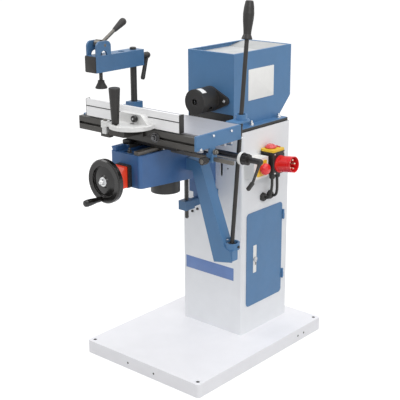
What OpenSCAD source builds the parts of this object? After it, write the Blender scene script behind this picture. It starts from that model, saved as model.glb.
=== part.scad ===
// Horizontal slot mortiser: a motor head on a sheet-steel column, and a joystick table on a rising knee.
// Millimetres. Z is up, -Y faces the operator, and the origin is on the floor at the centre of the base.

/* [Base and column] */
// Width of the base pan
base_w = 525; // [460:1:620]
// Depth of the base pan
base_d = 700; // [620:1:800]
// Height of the base pan
base_h = 48; // [40:1:60]
// Thickness of the base sheet
base_t = 4; // [2:0.5:6]
// Radius of the floor bolt holes
floor_hole_r = 6.5; // [5:0.5:8]
// Inset of the floor bolts from the edges of the base
floor_hole_inset = 19; // [17:1:28]
// Width of the column
column_w = 272; // [250:1:300]
// Depth of the column
column_d = 272; // [250:1:300]
// Height of the column above the base
column_h = 747; // [720:1:780]
// Thickness of the column sheet
column_t = 3; // [2:0.5:5]
// Place of the column's front face, behind the middle of the base
column_front = 28; // [10:1:45]

/* [Door] */
// Width of the door
door_w = 207; // [160:1:215]
// Height of the door
door_h = 351; // [280:1:400]
// Lower edge of the door above the base
door_low = 101; // [60:1:140]
// Front edge of the door behind the column's front face
door_in = 27; // [20:1:35]
// Corner radius of the door
door_corner = 14; // [6:1:24]
// Lap of the door over its opening
door_lap = 10; // [8:1:14]

/* [Head] */
// Width of the motor hood
hood_w = 204; // [190:1:224]
// Depth of the motor hood at its top
hood_d = 322; // [300:1:350]
// Height of the motor hood
hood_h = 252; // [235:1:280]
// Thickness of the hood sheet
hood_t = 2; // [1.5:0.5:3]
// Depth of the tray in the hood's top
tray_drop = 14; // [8:1:24]
// Height of the spindle above the column
spindle_rise = 103; // [98:1:110]
// Radius of the motor
motor_r = 72; // [60:1:80]
// Radius of the spindle
spindle_r = 12; // [9:0.5:14]
// Outer radius of the chuck guard
guard_r = 43; // [40:1:48]
// Length of the chuck guard
guard_l = 84; // [78:1:95]
// Radius of the chuck
chuck_r = 30; // [26:1:32]
// Radius of the tool bore
tool_bore_r = 8; // [5:0.5:9]
// Distance of the guard's bolts from the spindle
guard_bolt_x = 67; // [62:1:75]

/* [Knee] */
// Width of the knee
knee_w = 132; // [124:1:144]
// Reach of the knee in front of the column
knee_reach = 422; // [405:1:440]
// Height of the knee at its front
knee_h = 105; // [98:1:115]
// Depth of the knee's top below the spindle
knee_drop = 111; // [108:1:120]
// Wall of the knee casting
knee_t = 12; // [9:1:14]
// Distance of the lifting screw from the column
screw_reach = 133; // [125:1:140]
// Radius of the lifting screw
screw_r = 7; // [6:0.5:8]
// Radius of the handwheel
wheel_r = 70; // [60:1:78]
// Radius of the handwheel shaft
shaft_r = 8; // [6:0.5:9]
// Radius of the round cap under the knee
cap_r = 49; // [40:1:52]

/* [Table] */
// Length of the table over its end plates
table_w = 516; // [490:1:540]
// Depth of the table
table_d = 213; // [205:1:217]
// Height of the table above the knee
table_rise = 84; // [80:1:92]
// Thickness of the table top
table_t = 8; // [6:1:10]
// Thickness of the end plates
end_t = 8; // [5:1:10]
// Length of the fence
fence_w = 410; // [360:1:430]
// Height of the fence
fence_h = 56; // [48:1:58]
// Thickness of the fence
fence_t = 18; // [14:1:19]

/* [Clamp] */
// Radius of the clamp post
post_r = 11; // [9:0.5:13]
// Length of the clamp arm
arm_l = 219; // [200:1:235]
// Width of the clamp arm
arm_w = 50; // [46:1:56]
// Height of the clamp arm
arm_h = 54; // [46:1:60]
// Height of the arm's underside above the table
arm_rise = 144; // [138:1:160]
// Radius of the pressure pad
pad_r = 20; // [15:0.5:20]

/* [Joystick] */
// Radius of the joystick rod
rod_r = 7; // [5:0.5:8]
// Length of the joystick grip
grip_l = 121; // [100:1:140]
// Largest radius of the joystick grip
grip_r = 18; // [15:0.5:20]
// Bore radius of the guide ring on the table
guide_bore_r = 14; // [13:0.5:15]

/* [Hidden] */
$fn = 64;

// Clearances
run_gap = 0.05;
slide_gap = 0.2;
air = 0.3;
eps = 1;

// Colours
pan_white = "#ecedf1";
column_grey = "#d9dbdd";
machine_blue = "#4f739c";
black_paint = "#33322f";
bright_steel = "#c9cbcc";
cast_alloy = "#d9d9d7";
signal_red = "#d9292b";
signal_yellow = "#e8c83c";

// Levels and faces that the assembly hangs on
column_top = base_h + column_h;
column_back = column_front + column_d;
column_side = column_w / 2;
plate_t = 11;
head_z = column_top + plate_t;
spindle_z = column_top + spindle_rise;
hood_y = column_front - 5;
hood_top = head_z + hood_h;
knee_top = spindle_z - knee_drop;
knee_front = column_front - knee_reach;
knee_gap = 53;
knee_back = column_front - knee_gap;
knee_side = knee_w / 2;
knee_low = knee_top - knee_h;
shaft_z = knee_top - 71;
screw_y = column_front - screw_reach;
table_z = knee_top + table_rise;
table_y = knee_front + 47;
table_back = table_y + table_d;
table_side = table_w / 2;

// A block between two corners
module block(low, high) {
  translate(low) cube(high - low);
}

// A rectangle with round corners, centred
module round_rect(w, d, r) {
  square([w - 2 * r, d], center = true);
  square([w, d - 2 * r], center = true);
  for (x = [-1, 1], y = [-1, 1]) translate([x * (w / 2 - r), y * (d / 2 - r)]) circle(r);
}

// A prism along X from an outline in Y and Z
module along_x(x0, x1) {
  translate([x0, 0, 0]) rotate([90, 0, 90]) linear_extrude(x1 - x0) children();
}

// A prism along Y from an outline in X and Z
module along_y(y0, y1) {
  translate([0, y1, 0]) rotate([90, 0, 0]) linear_extrude(y1 - y0) children();
}

// Rods along the axes
module rod_x(x0, x1, y, z, r) {
  translate([x0, y, z]) rotate([0, 90, 0]) cylinder(r = r, h = x1 - x0);
}
module rod_y(y0, y1, x, z, r) {
  translate([x, y0, z]) rotate([-90, 0, 0]) cylinder(r = r, h = y1 - y0);
}
module rod_z(z0, z1, x, y, r) {
  translate([x, y, z0]) cylinder(r = r, h = z1 - z0);
}

// Base and column
base_corner = 10;
sleeve_wall = 5;
skirt_hole_r = 4;
skirt_hole_z = base_h / 2 - 2;
front_hole_x = 61;
side_holes_y = [206, 242];

module floor_bolts() {
  for (x = [-1, 1], y = [-1, 1])
    translate([x * (base_w / 2 - floor_hole_inset), y * (base_d / 2 - floor_hole_inset), 0]) children();
}

module base_pan() {
  inner = base_corner - base_t;
  color(pan_white) difference() {
    union() {
      difference() {
        linear_extrude(base_h) round_rect(base_w, base_d, base_corner);
        translate([0, 0, -eps]) linear_extrude(base_h - base_t + eps)
          round_rect(base_w - 2 * base_t, base_d - 2 * base_t, inner);
      }
      floor_bolts() cylinder(r = floor_hole_r + sleeve_wall, h = base_h);
    }
    floor_bolts() translate([0, 0, -eps]) cylinder(r = floor_hole_r, h = base_h + 2 * eps);
    for (s = [-1, 1])
      rod_y(-base_d / 2 - eps, -base_d / 2 + base_t + eps, s * front_hole_x, skirt_hole_z, skirt_hole_r);
    for (y = side_holes_y)
      rod_x(base_w / 2 - base_t - eps, base_w / 2 + eps, y, skirt_hole_z, skirt_hole_r);
  }
}

column_fold = 7;
slot_x = 45;
slot_w = 10;
slot_h = 47;
slot_z = column_top - 141;
spare_hole_x = 73;
spare_hole_r = 3;
door_y0 = column_front + door_in;
door_y1 = door_y0 + door_w;
door_z0 = base_h + door_low;
door_z1 = door_z0 + door_h;

module column_shell() {
  mid_y = column_front + column_d / 2;
  color(column_grey) difference() {
    translate([0, mid_y, base_h]) linear_extrude(column_h) round_rect(column_w, column_d, column_fold);
    translate([0, mid_y, base_h - eps]) linear_extrude(column_h + 2 * eps)
      round_rect(column_w - 2 * column_t, column_d - 2 * column_t, column_fold - column_t);
    block([column_side - column_t - eps, door_y0 + door_lap, door_z0 + door_lap],
          [column_side + eps, door_y1 - door_lap, door_z1 - door_lap]);
    for (s = [-1, 1]) {
      along_y(column_front - eps, column_front + column_t + eps)
        translate([s * slot_x, slot_z]) round_rect(slot_w, slot_h, slot_w / 2 - 0.01);
      rod_y(column_front - eps, column_front + column_t + eps, s * spare_hole_x, slot_z + 7, spare_hole_r);
    }
    for (y = column_gland_y)
      rod_x(column_side - column_t - eps, column_side + eps, y, column_gland_z, cable_r + 1);
  }
}

// Door with its hinges and quarter-turn latch
door_t = 2;
door_rim = 9;
door_rim_in = door_lap + 2;
door_x = column_side + air;
hinge_r = 4;
hinge_pin_r = 2;
hinge_l = 36;
hinge_leaf = 2;
hinge_x = door_x + hinge_r;
hinge_y = door_y1 + hinge_r + 1;
hinge_zs = [door_z0 + 71, door_z1 - 49];

module hinge_knuckle(z0, z1) {
  rod_z(z0, z1, hinge_x, hinge_y, hinge_r);
}

module door_hinges() {
  color(machine_blue) for (z = hinge_zs) {
    hinge_knuckle(z - hinge_l / 2, z);
    block([column_side, hinge_y, z - hinge_l / 2], [column_side + hinge_leaf, hinge_y + 12, z]);
    block([column_side, hinge_y - 1, z - hinge_l / 2], [hinge_x, hinge_y + hinge_r, z]);
    rod_z(z - hinge_l / 2, z + hinge_l / 2, hinge_x, hinge_y, hinge_pin_r);
  }
}

latch_y = door_y0 + 47;
latch_z = door_z0 + 174;
latch_r = 6;

module door_panel() {
  mid = [(door_y0 + door_y1) / 2, (door_z0 + door_z1) / 2];
  color(machine_blue) difference() {
    union() {
      along_x(door_x, door_x + door_t) translate(mid) round_rect(door_w, door_h, door_corner);
      along_x(door_x - door_rim, door_x) translate(mid) difference() {
        square([door_w - 2 * door_rim_in, door_h - 2 * door_rim_in], center = true);
        square([door_w - 2 * door_rim_in - 2 * door_t, door_h - 2 * door_rim_in - 2 * door_t], center = true);
      }
      for (z = hinge_zs) {
        hinge_knuckle(z + air, z + hinge_l / 2);
        block([door_x, door_y1 - door_corner, z + air], [door_x + door_t, hinge_y, z + hinge_l / 2]);
      }
    }
    for (z = hinge_zs) rod_z(z - hinge_l, z + hinge_l, hinge_x, hinge_y, hinge_pin_r + run_gap);
    rod_x(door_x - eps, door_x + door_t + eps, latch_y, latch_z, latch_r + run_gap);
  }
}

latch_plate = 17;
latch_tongue = 40;

module door_latch() {
  outer_x = door_x + door_t;
  tongue_x = door_x - door_rim - 1;
  color(bright_steel) {
    rod_x(tongue_x - 3, outer_x + 3, latch_y, latch_z, latch_r);
    along_x(outer_x + 0.1, outer_x + 5) translate([latch_y, latch_z]) difference() {
      round_rect(latch_plate, latch_plate, latch_plate / 2 - 0.01);
      square([3, latch_plate - 5], center = true);
    }
    block([tongue_x - 3, latch_y - latch_r, latch_z - latch_tongue], [tongue_x, latch_y + latch_r, latch_z]);
  }
}

// Head: bracket, hood, motor, spindle and chuck
bracket_wall = 12;
bracket_y = hood_y + hood_t + air;
bracket_back = bracket_y + bracket_wall;
register_r = 34;

module motor_bracket() {
  color(black_paint) difference() {
    union() {
      block([-column_side + 6, bracket_y, column_top], [column_side - 6, column_back - 6, head_z]);
      block([-hood_w / 2 + hood_t + air, bracket_y, head_z],
            [hood_w / 2 - hood_t - air, bracket_back, spindle_z + motor_r + 10]);
    }
    rod_y(bracket_y - eps, bracket_back + eps, 0, spindle_z, spindle_r + 6);
  }
}

hood_lip = 8;
hood_nose = 46;
hood_chin = [59, 58];
hood_heel = hood_y + hood_d - hood_chin[0];
flange_w = 30;
flange_t = 3;
flange_bolt_r = 4.5;
flange_bolts_y = [column_front + 73, hood_heel - 29];

// Side outline of the hood, drawn in by a wall
module hood_outline(wall) {
  polygon([
    [hood_y + wall, head_z - (wall > 0 ? eps : 0)],
    [hood_y + wall, hood_top - wall],
    [hood_y + hood_d - wall, hood_top - wall],
    [hood_y + hood_d - wall, head_z + 13 + hood_chin[1]],
    [hood_heel - wall, head_z + 13],
    [hood_heel - wall, head_z - (wall > 0 ? eps : 0)]
  ]);
}

module hood_shell() {
  half = hood_w / 2;
  color(machine_blue) difference() {
    union() {
      along_x(-half, half) hood_outline(0);
      for (s = [-1, 1])
        translate([s * (half + flange_w / 2 - hood_t / 2), (column_front + 3 + hood_heel) / 2, head_z])
          linear_extrude(flange_t) square([flange_w + hood_t, hood_heel - column_front - 3], center = true);
    }
    along_x(-half + hood_t, half - hood_t) hood_outline(hood_t);
    block([-half + hood_t, hood_y - eps, head_z - eps],
          [half - hood_t, hood_y + hood_t + eps, head_z + hood_nose]);
    block([-half + hood_lip, hood_y + hood_lip, hood_top - hood_t - eps],
          [half - hood_lip, hood_y + hood_d - hood_lip, hood_top + eps]);
    rod_y(hood_y - eps, hood_y + hood_t + eps, 0, spindle_z, register_r);
    for (s = [-1, 1], y = flange_bolts_y)
      rod_z(head_z - eps, head_z + flange_t + eps, s * (half + flange_w / 2), y, flange_bolt_r);
  }
}

tray_t = 3;

module hood_tray() {
  half = hood_w / 2 - hood_t;
  top = hood_top - tray_drop;
  color(column_grey)
    block([-half, hood_y + hood_t, top - tray_t], [half, hood_y + hood_d - hood_t, top]);
}

motor_l = 233;
fin_count = 28;
fin_h = 7;

module motor_body() {
  back = bracket_back + motor_l;
  shield = 26;
  color(black_paint) difference() {
    union() {
      rod_y(bracket_back, back, 0, spindle_z, motor_r - fin_h);
      rod_y(bracket_back, bracket_back + shield, 0, spindle_z, motor_r);
      rod_y(back - 2 * shield, back, 0, spindle_z, motor_r);
      for (i = [0 : fin_count - 1])
        translate([0, bracket_back + shield, spindle_z]) rotate([0, i * 360 / fin_count, 0])
          translate([-1.5, 0, motor_r - fin_h - 2]) cube([3, motor_l - 3 * shield, fin_h]);
    }
    rod_y(bracket_back - eps, back - shield, 0, spindle_z, spindle_r + run_gap);
  }
}

guard_front = hood_y - guard_l;
guard_wall = 5;
chuck_front = guard_front + guard_wall + 4;
chuck_back = hood_y - 21;
shaft_seat = 8;

module spindle_shaft() {
  color(bright_steel) rod_y(chuck_back - shaft_seat, bracket_back + motor_l - 30, 0, spindle_z, spindle_r);
}

jaw_l = 18;
jaw_h = 22;

module chuck_body() {
  color(bright_steel) difference() {
    rod_y(chuck_front, chuck_back, 0, spindle_z, chuck_r);
    rod_y(chuck_front - eps, chuck_back - shaft_seat, 0, spindle_z, tool_bore_r);
    rod_y(chuck_back - shaft_seat, chuck_back + eps, 0, spindle_z, spindle_r);
    block([-chuck_r - eps, chuck_front - eps, spindle_z - jaw_h / 2],
          [chuck_r + eps, chuck_front + jaw_l, spindle_z + jaw_h / 2]);
  }
}

module chuck_jaws() {
  color(bright_steel) for (s = [0, 1]) mirror([s, 0, 0]) difference() {
    block([1, chuck_front, spindle_z - jaw_h / 2], [chuck_r - 3, chuck_front + jaw_l, spindle_z + jaw_h / 2]);
    rod_y(chuck_front - eps, chuck_front + jaw_l + eps, 0, spindle_z, tool_bore_r);
  }
}

guard_flange_t = 8;
guard_ear_r = 16;
guard_ear_in = 0.3;
guard_mouth_r = 11;
key_hole_r = 9;
key_hole_turn = 125;

// Outline of the guard's flange: an ear for a bolt on each side of the drum
module guard_flange() {
  lean = acos((guard_r - guard_ear_r) / guard_bolt_x);
  out = [cos(lean), sin(lean)];
  ear = [guard_bolt_x, 0] + (guard_ear_r - guard_ear_in) * out;
  root = (guard_r + 1 - guard_ear_in) * out;
  circle(guard_r + 1);
  for (s = [-1, 1]) translate([s * guard_bolt_x, 0]) circle(guard_ear_r);
  polygon([
    [ear[0], -ear[1]], ear, root, [-root[0], root[1]],
    [-ear[0], ear[1]], -ear, -root, [root[0], -root[1]]
  ]);
}

module spindle_guard() {
  color(black_paint) difference() {
    union() {
      rod_y(guard_front, hood_y, 0, spindle_z, guard_r);
      along_y(hood_y - guard_flange_t, hood_y) translate([0, spindle_z]) guard_flange();
    }
    rod_y(guard_front + guard_wall, hood_y + eps, 0, spindle_z, guard_r - guard_wall);
    rod_y(guard_front - eps, guard_front + guard_wall + eps, 0, spindle_z, guard_mouth_r);
    translate([0, guard_front + 40, spindle_z]) rotate([0, key_hole_turn, 0])
      cylinder(r = key_hole_r, h = guard_r + 10);
    for (s = [-1, 1]) rod_y(hood_y - guard_flange_t - eps, hood_y + eps, s * guard_bolt_x, spindle_z, 4.5);
  }
}

// Rising knee on the column's dovetail way
way_neck = 18;
way_head = 34;
way_depth = 27;
way_low = knee_low - 102;

module way_outline(gap) {
  lip = knee_back - way_depth;
  polygon([
    [-way_neck - gap, column_front], [-way_neck - gap, knee_back], [-way_head - gap, lip - gap],
    [way_head + gap, lip - gap], [way_neck + gap, knee_back], [way_neck + gap, column_front]
  ]);
}

module slide_way() {
  color(bright_steel) translate([0, 0, way_low]) linear_extrude(column_top - 5 - way_low) way_outline(0);
}

knee_corner = 12;
knee_fall = 17;
knee_fall_l = 234;
knee_foot = 42;
knee_foot_l = 50;
cavity_back = screw_y + 32;
cavity_low = knee_low + 12;
cap_y = knee_front + 184;
web_y = screw_y - 55;
web_t = 12;
recess_x = 34;
recess_h = 7;
knee_clear = 100;

// Height of the knee's sloping underside
function knee_under(y) = knee_low - (y - knee_front) * knee_fall / knee_fall_l;

module knee_side_outline() {
  foot = knee_back - knee_foot_l;
  polygon([
    [knee_front, knee_low], [knee_front, knee_top], [knee_back, knee_top], [knee_back, knee_low - knee_foot],
    [foot, knee_low - knee_foot], [foot - 25, knee_under(foot - 25)]
  ]);
}

module knee_casting() {
  mid_y = (knee_front + knee_back) / 2;
  color(machine_blue) difference() {
    intersection() {
      along_x(-knee_side, knee_side) knee_side_outline();
      translate([0, mid_y, knee_low - knee_clear]) linear_extrude(knee_h + 2 * knee_clear)
        round_rect(knee_w, knee_back - knee_front, knee_corner);
    }
    difference() {
      block([-knee_side + knee_t, knee_front + knee_t, cavity_low],
            [knee_side - knee_t, cavity_back, knee_top - knee_t]);
      block([-knee_side, web_y, cavity_low - eps], [knee_side, web_y + web_t, knee_top]);
    }
    block([-recess_x, knee_front + knee_t, knee_top - recess_h], [recess_x, screw_y, knee_top + eps]);
    translate([0, 0, way_low - eps]) linear_extrude(knee_top - way_low + 2 * eps) way_outline(slide_gap);
    rod_y(knee_front - eps, web_y + web_t + eps, 0, shaft_z, shaft_r + run_gap);
    rod_z(knee_low - knee_clear, cavity_low + eps, 0, screw_y, screw_r + run_gap);
    rod_z(knee_low - knee_clear, cavity_low + eps, 0, cap_y, cap_r - 9);
  }
}

cap_l = 45;
cap_wall = 4;

module underside_cap() {
  low = knee_under(cap_y) - cap_l;
  color(black_paint) difference() {
    rod_z(low, knee_low, 0, cap_y, cap_r);
    rod_z(low + cap_wall, knee_low + eps, 0, cap_y, cap_r - cap_wall);
    along_x(-knee_side, knee_side) knee_side_outline();
  }
}

// Lifting screw, its nut bracket and the miter gears
nut_z = knee_low - 132;
nut_w = 34;
nut_l = 46;
nut_h = 32;
nut_arm_w = 24;
nut_arm_h = 24;
nut_plate = [60, 60, 8];

module nut_bracket() {
  color(machine_blue) difference() {
    union() {
      block([-nut_w / 2, screw_y - nut_l / 2, nut_z - nut_h / 2],
            [nut_w / 2, screw_y + nut_l / 2, nut_z + nut_h / 2]);
      block([-nut_arm_w / 2, screw_y, nut_z - nut_arm_h / 2],
            [nut_arm_w / 2, column_front, nut_z + nut_arm_h / 2]);
      block([-nut_plate[0] / 2, column_front - nut_plate[2], nut_z - nut_plate[1] / 2],
            [nut_plate[0] / 2, column_front, nut_z + nut_plate[1] / 2]);
    }
    rod_z(nut_z - nut_h, nut_z + nut_h, 0, screw_y, screw_r + run_gap);
  }
}

gear_teeth = 16;
gear_pitch_r = 16;
gear_face = 7;
gear_hub_l = 5;
gear_tooth = 1.6;

// Outline of a miter gear at its large end, with straight-sided teeth
module gear_outline() {
  root = gear_pitch_r - gear_tooth;
  tip = gear_pitch_r + gear_tooth * 0.7;
  step = 360 / gear_teeth;
  polygon([for (i = [0 : gear_teeth - 1], k = [[root, -0.30], [tip, -0.13], [tip, 0.13], [root, 0.30]])
    k[0] * [cos((i + k[1]) * step), sin((i + k[1]) * step)]]);
}

// A miter gear whose pitch cone has its point at the origin, large end down
module miter_gear(turn) {
  small = (gear_pitch_r - gear_face) / gear_pitch_r;
  translate([0, 0, -gear_pitch_r]) {
    rotate([0, 0, turn]) linear_extrude(gear_face, scale = small) gear_outline();
    translate([0, 0, -gear_hub_l]) cylinder(r = gear_pitch_r - 4, h = gear_hub_l + 0.01);
  }
}

screw_low = nut_z - nut_h / 2 - 31;

module lead_screw() {
  color(bright_steel) {
    rod_z(screw_low, shaft_z - gear_pitch_r, 0, screw_y, screw_r);
    translate([0, screw_y, shaft_z]) miter_gear(0);
    translate([0, screw_y, screw_low - screw_r / 2])
      cylinder(r1 = screw_r / 2, r2 = screw_r, h = screw_r / 2);
  }
}

wheel_y = knee_front - 92;
wheel_depth = 18;
indicator_d = 38;
indicator_w = 48;
indicator_top = 36;
indicator_low = 32;
indicator_plate = 5;

module wheel_shaft() {
  color(bright_steel) {
    rod_y(wheel_y - 6, screw_y - gear_pitch_r, 0, shaft_z, shaft_r);
    translate([0, screw_y, shaft_z]) rotate([-90, 0, 0]) miter_gear(180 / gear_teeth);
  }
}

module position_indicator() {
  front = knee_front - indicator_plate - indicator_d;
  half = indicator_w / 2;
  color(signal_red) difference() {
    union() {
      along_x(-half, half) polygon([
        [knee_front - indicator_plate, shaft_z - indicator_low],
        [knee_front - indicator_plate, shaft_z + indicator_top],
        [front + 16, shaft_z + indicator_top - 2], [front, shaft_z + indicator_top - 22],
        [front, shaft_z - indicator_low + 6],
        [front + 6, shaft_z - indicator_low]
      ]);
      along_y(knee_front - indicator_plate, knee_front)
        translate([0, shaft_z + (indicator_top - indicator_low) / 2])
        round_rect(indicator_w + 8, indicator_top + indicator_low + 4, 5);
    }
    rod_y(front - eps, knee_front + eps, 0, shaft_z, shaft_r + air);
  }
}

rim_w = 20;
web_dish = 3.5;
crank_r = wheel_r - 9;
crank_turn = 195;
crank_pin_r = 5;
crank_x = crank_r * sin(crank_turn);
crank_z = shaft_z + crank_r * cos(crank_turn);

// Dished wheel, turned about its shaft
module handwheel() {
  hub_r = 20;
  color(black_paint) difference() {
    translate([0, wheel_y, shaft_z]) rotate([-90, 0, 0]) rotate_extrude($fn = 96) polygon([
      [shaft_r, -4], [hub_r - 3, -4], [hub_r, 0], [wheel_r - rim_w - 2, web_dish],
      [wheel_r - rim_w, -3], [wheel_r - 4, -4],
      [wheel_r, 0], [wheel_r, wheel_depth - 4], [wheel_r - 4, wheel_depth],
      [wheel_r - rim_w, wheel_depth - 2],
      [hub_r, wheel_depth - 1], [hub_r, wheel_depth + 22], [shaft_r, wheel_depth + 22]
    ]);
    rod_y(wheel_y - 10, wheel_y + wheel_depth + 4, crank_x, crank_z, crank_pin_r);
  }
}

crank_l = 66;

module crank_handle() {
  color(black_paint) translate([crank_x, wheel_y - 5, crank_z]) rotate([90, 0, 0]) {
    rotate_extrude($fn = 48) polygon([
      [0, 0], [8, 0], [9, 4], [8.5, 16], [11, 40], [11.5, 56], [10, 63], [6, crank_l], [0, crank_l]
    ]);
    translate([0, 0, -wheel_depth - 3]) cylinder(r = crank_pin_r - run_gap, h = wheel_depth + 4);
  }
}

// Two-way slides between the knee and the table
depth_rail_x = 46;
depth_rail_w = 20;
depth_rail_h = 12;
depth_rail_front = [knee_front + 58, knee_front + 5];
depth_rail_back = knee_back - 34;

module depth_rails() {
  color(black_paint) for (i = [0, 1]) {
    x = (2 * i - 1) * depth_rail_x;
    block([x - depth_rail_w / 2, depth_rail_front[i], knee_top],
          [x + depth_rail_w / 2, depth_rail_back, knee_top + depth_rail_h]);
  }
}

cross_left = 70;
cross_w = 280;
cross_y = table_y + 40;
cross_back = table_back - 16;
cross_t = 13;
cross_low = knee_top + depth_rail_h;
cross_top = cross_low + cross_t;
cheek_w = 11;
cheek_h = 9;
length_rail_ys = [table_y + 52, table_back - 51];
length_rail_w = 22;
length_rail_h = 10;
bar_y = table_y + 75;
bar_t = 8;
bar_h = 12;
bar_top = knee_top + 8;
bar_end = table_side + 82;

module cross_slide() {
  color(black_paint) {
    block([-cross_left, cross_y, cross_low], [cross_w / 2, cross_back, cross_top]);
    for (s = [-1, 1], side = [-1, 1]) {
      x = s * depth_rail_x + side * (depth_rail_w / 2 + slide_gap + cheek_w / 2);
      block([x - cheek_w / 2, cross_y + 10, cross_low - cheek_h],
            [x + cheek_w / 2, cross_back - 10, cross_low]);
    }
    for (y = length_rail_ys)
      block([-cross_left, y - length_rail_w / 2, cross_top],
            [cross_w / 2, y + length_rail_w / 2, cross_top + length_rail_h]);
  }
}

module stop_bar() {
  left = depth_rail_x + depth_rail_w / 2 + slide_gap + cheek_w + 20;
  color(bright_steel) {
    block([left, bar_y - bar_t / 2, bar_top - bar_h], [bar_end, bar_y + bar_t / 2, bar_top]);
    for (x = [left, cross_w / 2 - 14])
      block([x, bar_y - bar_t / 2, bar_top], [x + 14, bar_y + bar_t / 2, cross_low]);
  }
}

runner_w = 42;
rail_d = 20;
apron_t = 4;
table_low = table_z - 46;

module table_top() {
  side = table_side - end_t;
  color(bright_steel) {
    block([-side, table_y + rail_d, table_z - table_t], [side, table_back, table_z]);
    block([-side, table_back - apron_t, table_low + 2], [side, table_back, table_z - table_t]);
    for (y = length_rail_ys) difference() {
      block([-side, y - runner_w / 2, cross_top + 2], [side, y + runner_w / 2, table_z - table_t]);
      block([-side - eps, y - length_rail_w / 2 - slide_gap, cross_top],
            [side + eps, y + length_rail_w / 2 + slide_gap, cross_top + length_rail_h]);
    }
  }
}

foot_w = 22;
foot_h = 26;
web_w = 24;

module end_plates() {
  web_low = bar_top - bar_h - 3;
  color(machine_blue) difference() {
    union() {
      block([table_side - end_t, table_y, table_low], [table_side, table_back, table_z]);
      block([-table_side, table_y + rail_d, table_low], [-table_side + end_t, table_back, table_z]);
      block([table_side - end_t, bar_y - web_w / 2, web_low], [table_side, bar_y + web_w / 2, table_low]);
      block([table_side - end_t / 2 - foot_w / 2, bar_y - web_w / 2, web_low],
            [table_side - end_t / 2 + foot_w / 2, bar_y + web_w / 2, web_low + foot_h]);
    }
    block([table_side - 40, bar_y - bar_t / 2 - slide_gap, bar_top - bar_h - slide_gap],
          [table_side + 40, bar_y + bar_t / 2 + slide_gap, bar_top + slide_gap]);
    rod_y(bar_y - web_w, bar_y - bar_t / 2, table_side - end_t / 2, bar_top - bar_h / 2,
          knob_stud_r + run_gap);
  }
}

knob_stud_r = 4;
knob_r = 12;
knob_l = 22;
knob_neck = 14;

module length_lock_knob() {
  x = table_side - end_t / 2;
  z = bar_top - bar_h / 2;
  face = bar_y - web_w / 2;
  color(black_paint) {
    rod_y(face - knob_neck - 1, bar_y - bar_t / 2 - air, x, z, knob_stud_r);
    difference() {
      rod_y(face - knob_neck - knob_l, face - knob_neck, x, z, knob_r);
      for (i = [0 : 7]) rotate_about_y([x, 0, z], i * 45)
        rod_y(face - knob_neck - knob_l - eps, face - knob_neck + eps, x, z + knob_r + 2.5, 4);
    }
  }
}

module rotate_about_y(centre, angle) {
  translate(centre) rotate([0, angle, 0]) translate(-centre) children();
}

rail_z0 = table_low - 3;
rail_z1 = table_z - 5;
rail_slot = 8;
rail_slot_in = 5;
rail_cave = 14;
rail_cave_in = 6;
rail_slot_z = (rail_z0 + rail_z1) / 2;

module front_rail() {
  side = table_side - end_t;
  color(black_paint) difference() {
    block([-table_side, table_y, rail_z0], [side, table_y + rail_d, rail_z1]);
    block([-table_side - eps, table_y - eps, rail_slot_z - rail_slot / 2],
          [side + eps, table_y + rail_slot_in + eps, rail_slot_z + rail_slot / 2]);
    block([-table_side - eps, table_y + rail_slot_in, rail_slot_z - rail_cave / 2],
          [side + eps, table_y + rail_slot_in + rail_cave_in, rail_slot_z + rail_cave / 2]);
  }
}

// Fence on its gauge
gauge_x = -17;
gauge_y = table_y - 67;
swing_x = gauge_x + 37;
swing_y = gauge_y + 36;
gauge_t = 11;
gauge_low = table_z + 1;
gauge_top = gauge_low + gauge_t;
sector_r = 72;
pivot_r = 7;
stud_r = 5;
arc_gap = 0.3;
swing_half = 22;
nut_half = 23;
fence_x = -222;
fence_y = table_y + 1;
groove_z = table_z + 33;
groove_h = 3.6;
groove_in = 5;

module gauge_clamp() {
  low = rail_slot_z + 4;
  color(black_paint) {
    block([gauge_x - 14, gauge_y - 14, low], [swing_x + 14, table_y - air, table_z - air]);
    block([swing_x - nut_half, table_y - 8, rail_slot_z - rail_slot / 2 + slide_gap],
          [swing_x + nut_half, table_y + rail_slot_in + slide_gap, rail_slot_z + rail_slot / 2 - slide_gap]);
    block([swing_x - nut_half, table_y - 8, rail_slot_z - rail_slot / 2 + slide_gap],
          [swing_x + nut_half, table_y - air, table_z - air]);
    block([swing_x - nut_half, table_y + rail_slot_in + slide_gap, rail_slot_z - rail_cave / 2 + slide_gap],
          [swing_x + nut_half, table_y + rail_slot_in + rail_cave_in - slide_gap,
           rail_slot_z + rail_cave / 2 - slide_gap]);
    rod_z(low, gauge_top, swing_x, swing_y, pivot_r);
    rod_z(low, gauge_top + 6, gauge_x, gauge_y, stud_r);
  }
}

gauge_web_t = 24;
gauge_web_h = 29;

// Arc slot round the swing pin for the clamp stud
slot_end = 0.05;

module arc_slot() {
  away = [gauge_x - swing_x, gauge_y - swing_y];
  reach = norm(away);
  mid = atan2(away[1], away[0]);
  half = stud_r + arc_gap;
  translate([swing_x, swing_y]) {
    intersection() {
      difference() {
        circle(reach + half, $fn = 96);
        circle(reach - half, $fn = 96);
      }
      polygon([[0, 0], 2 * reach * [cos(mid - swing_half), sin(mid - swing_half)],
               2 * reach * [cos(mid + swing_half), sin(mid + swing_half)]]);
    }
    for (e = [-swing_half, swing_half])
      translate(reach * [cos(mid + e), sin(mid + e)]) circle(half + slot_end);
  }
}

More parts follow.
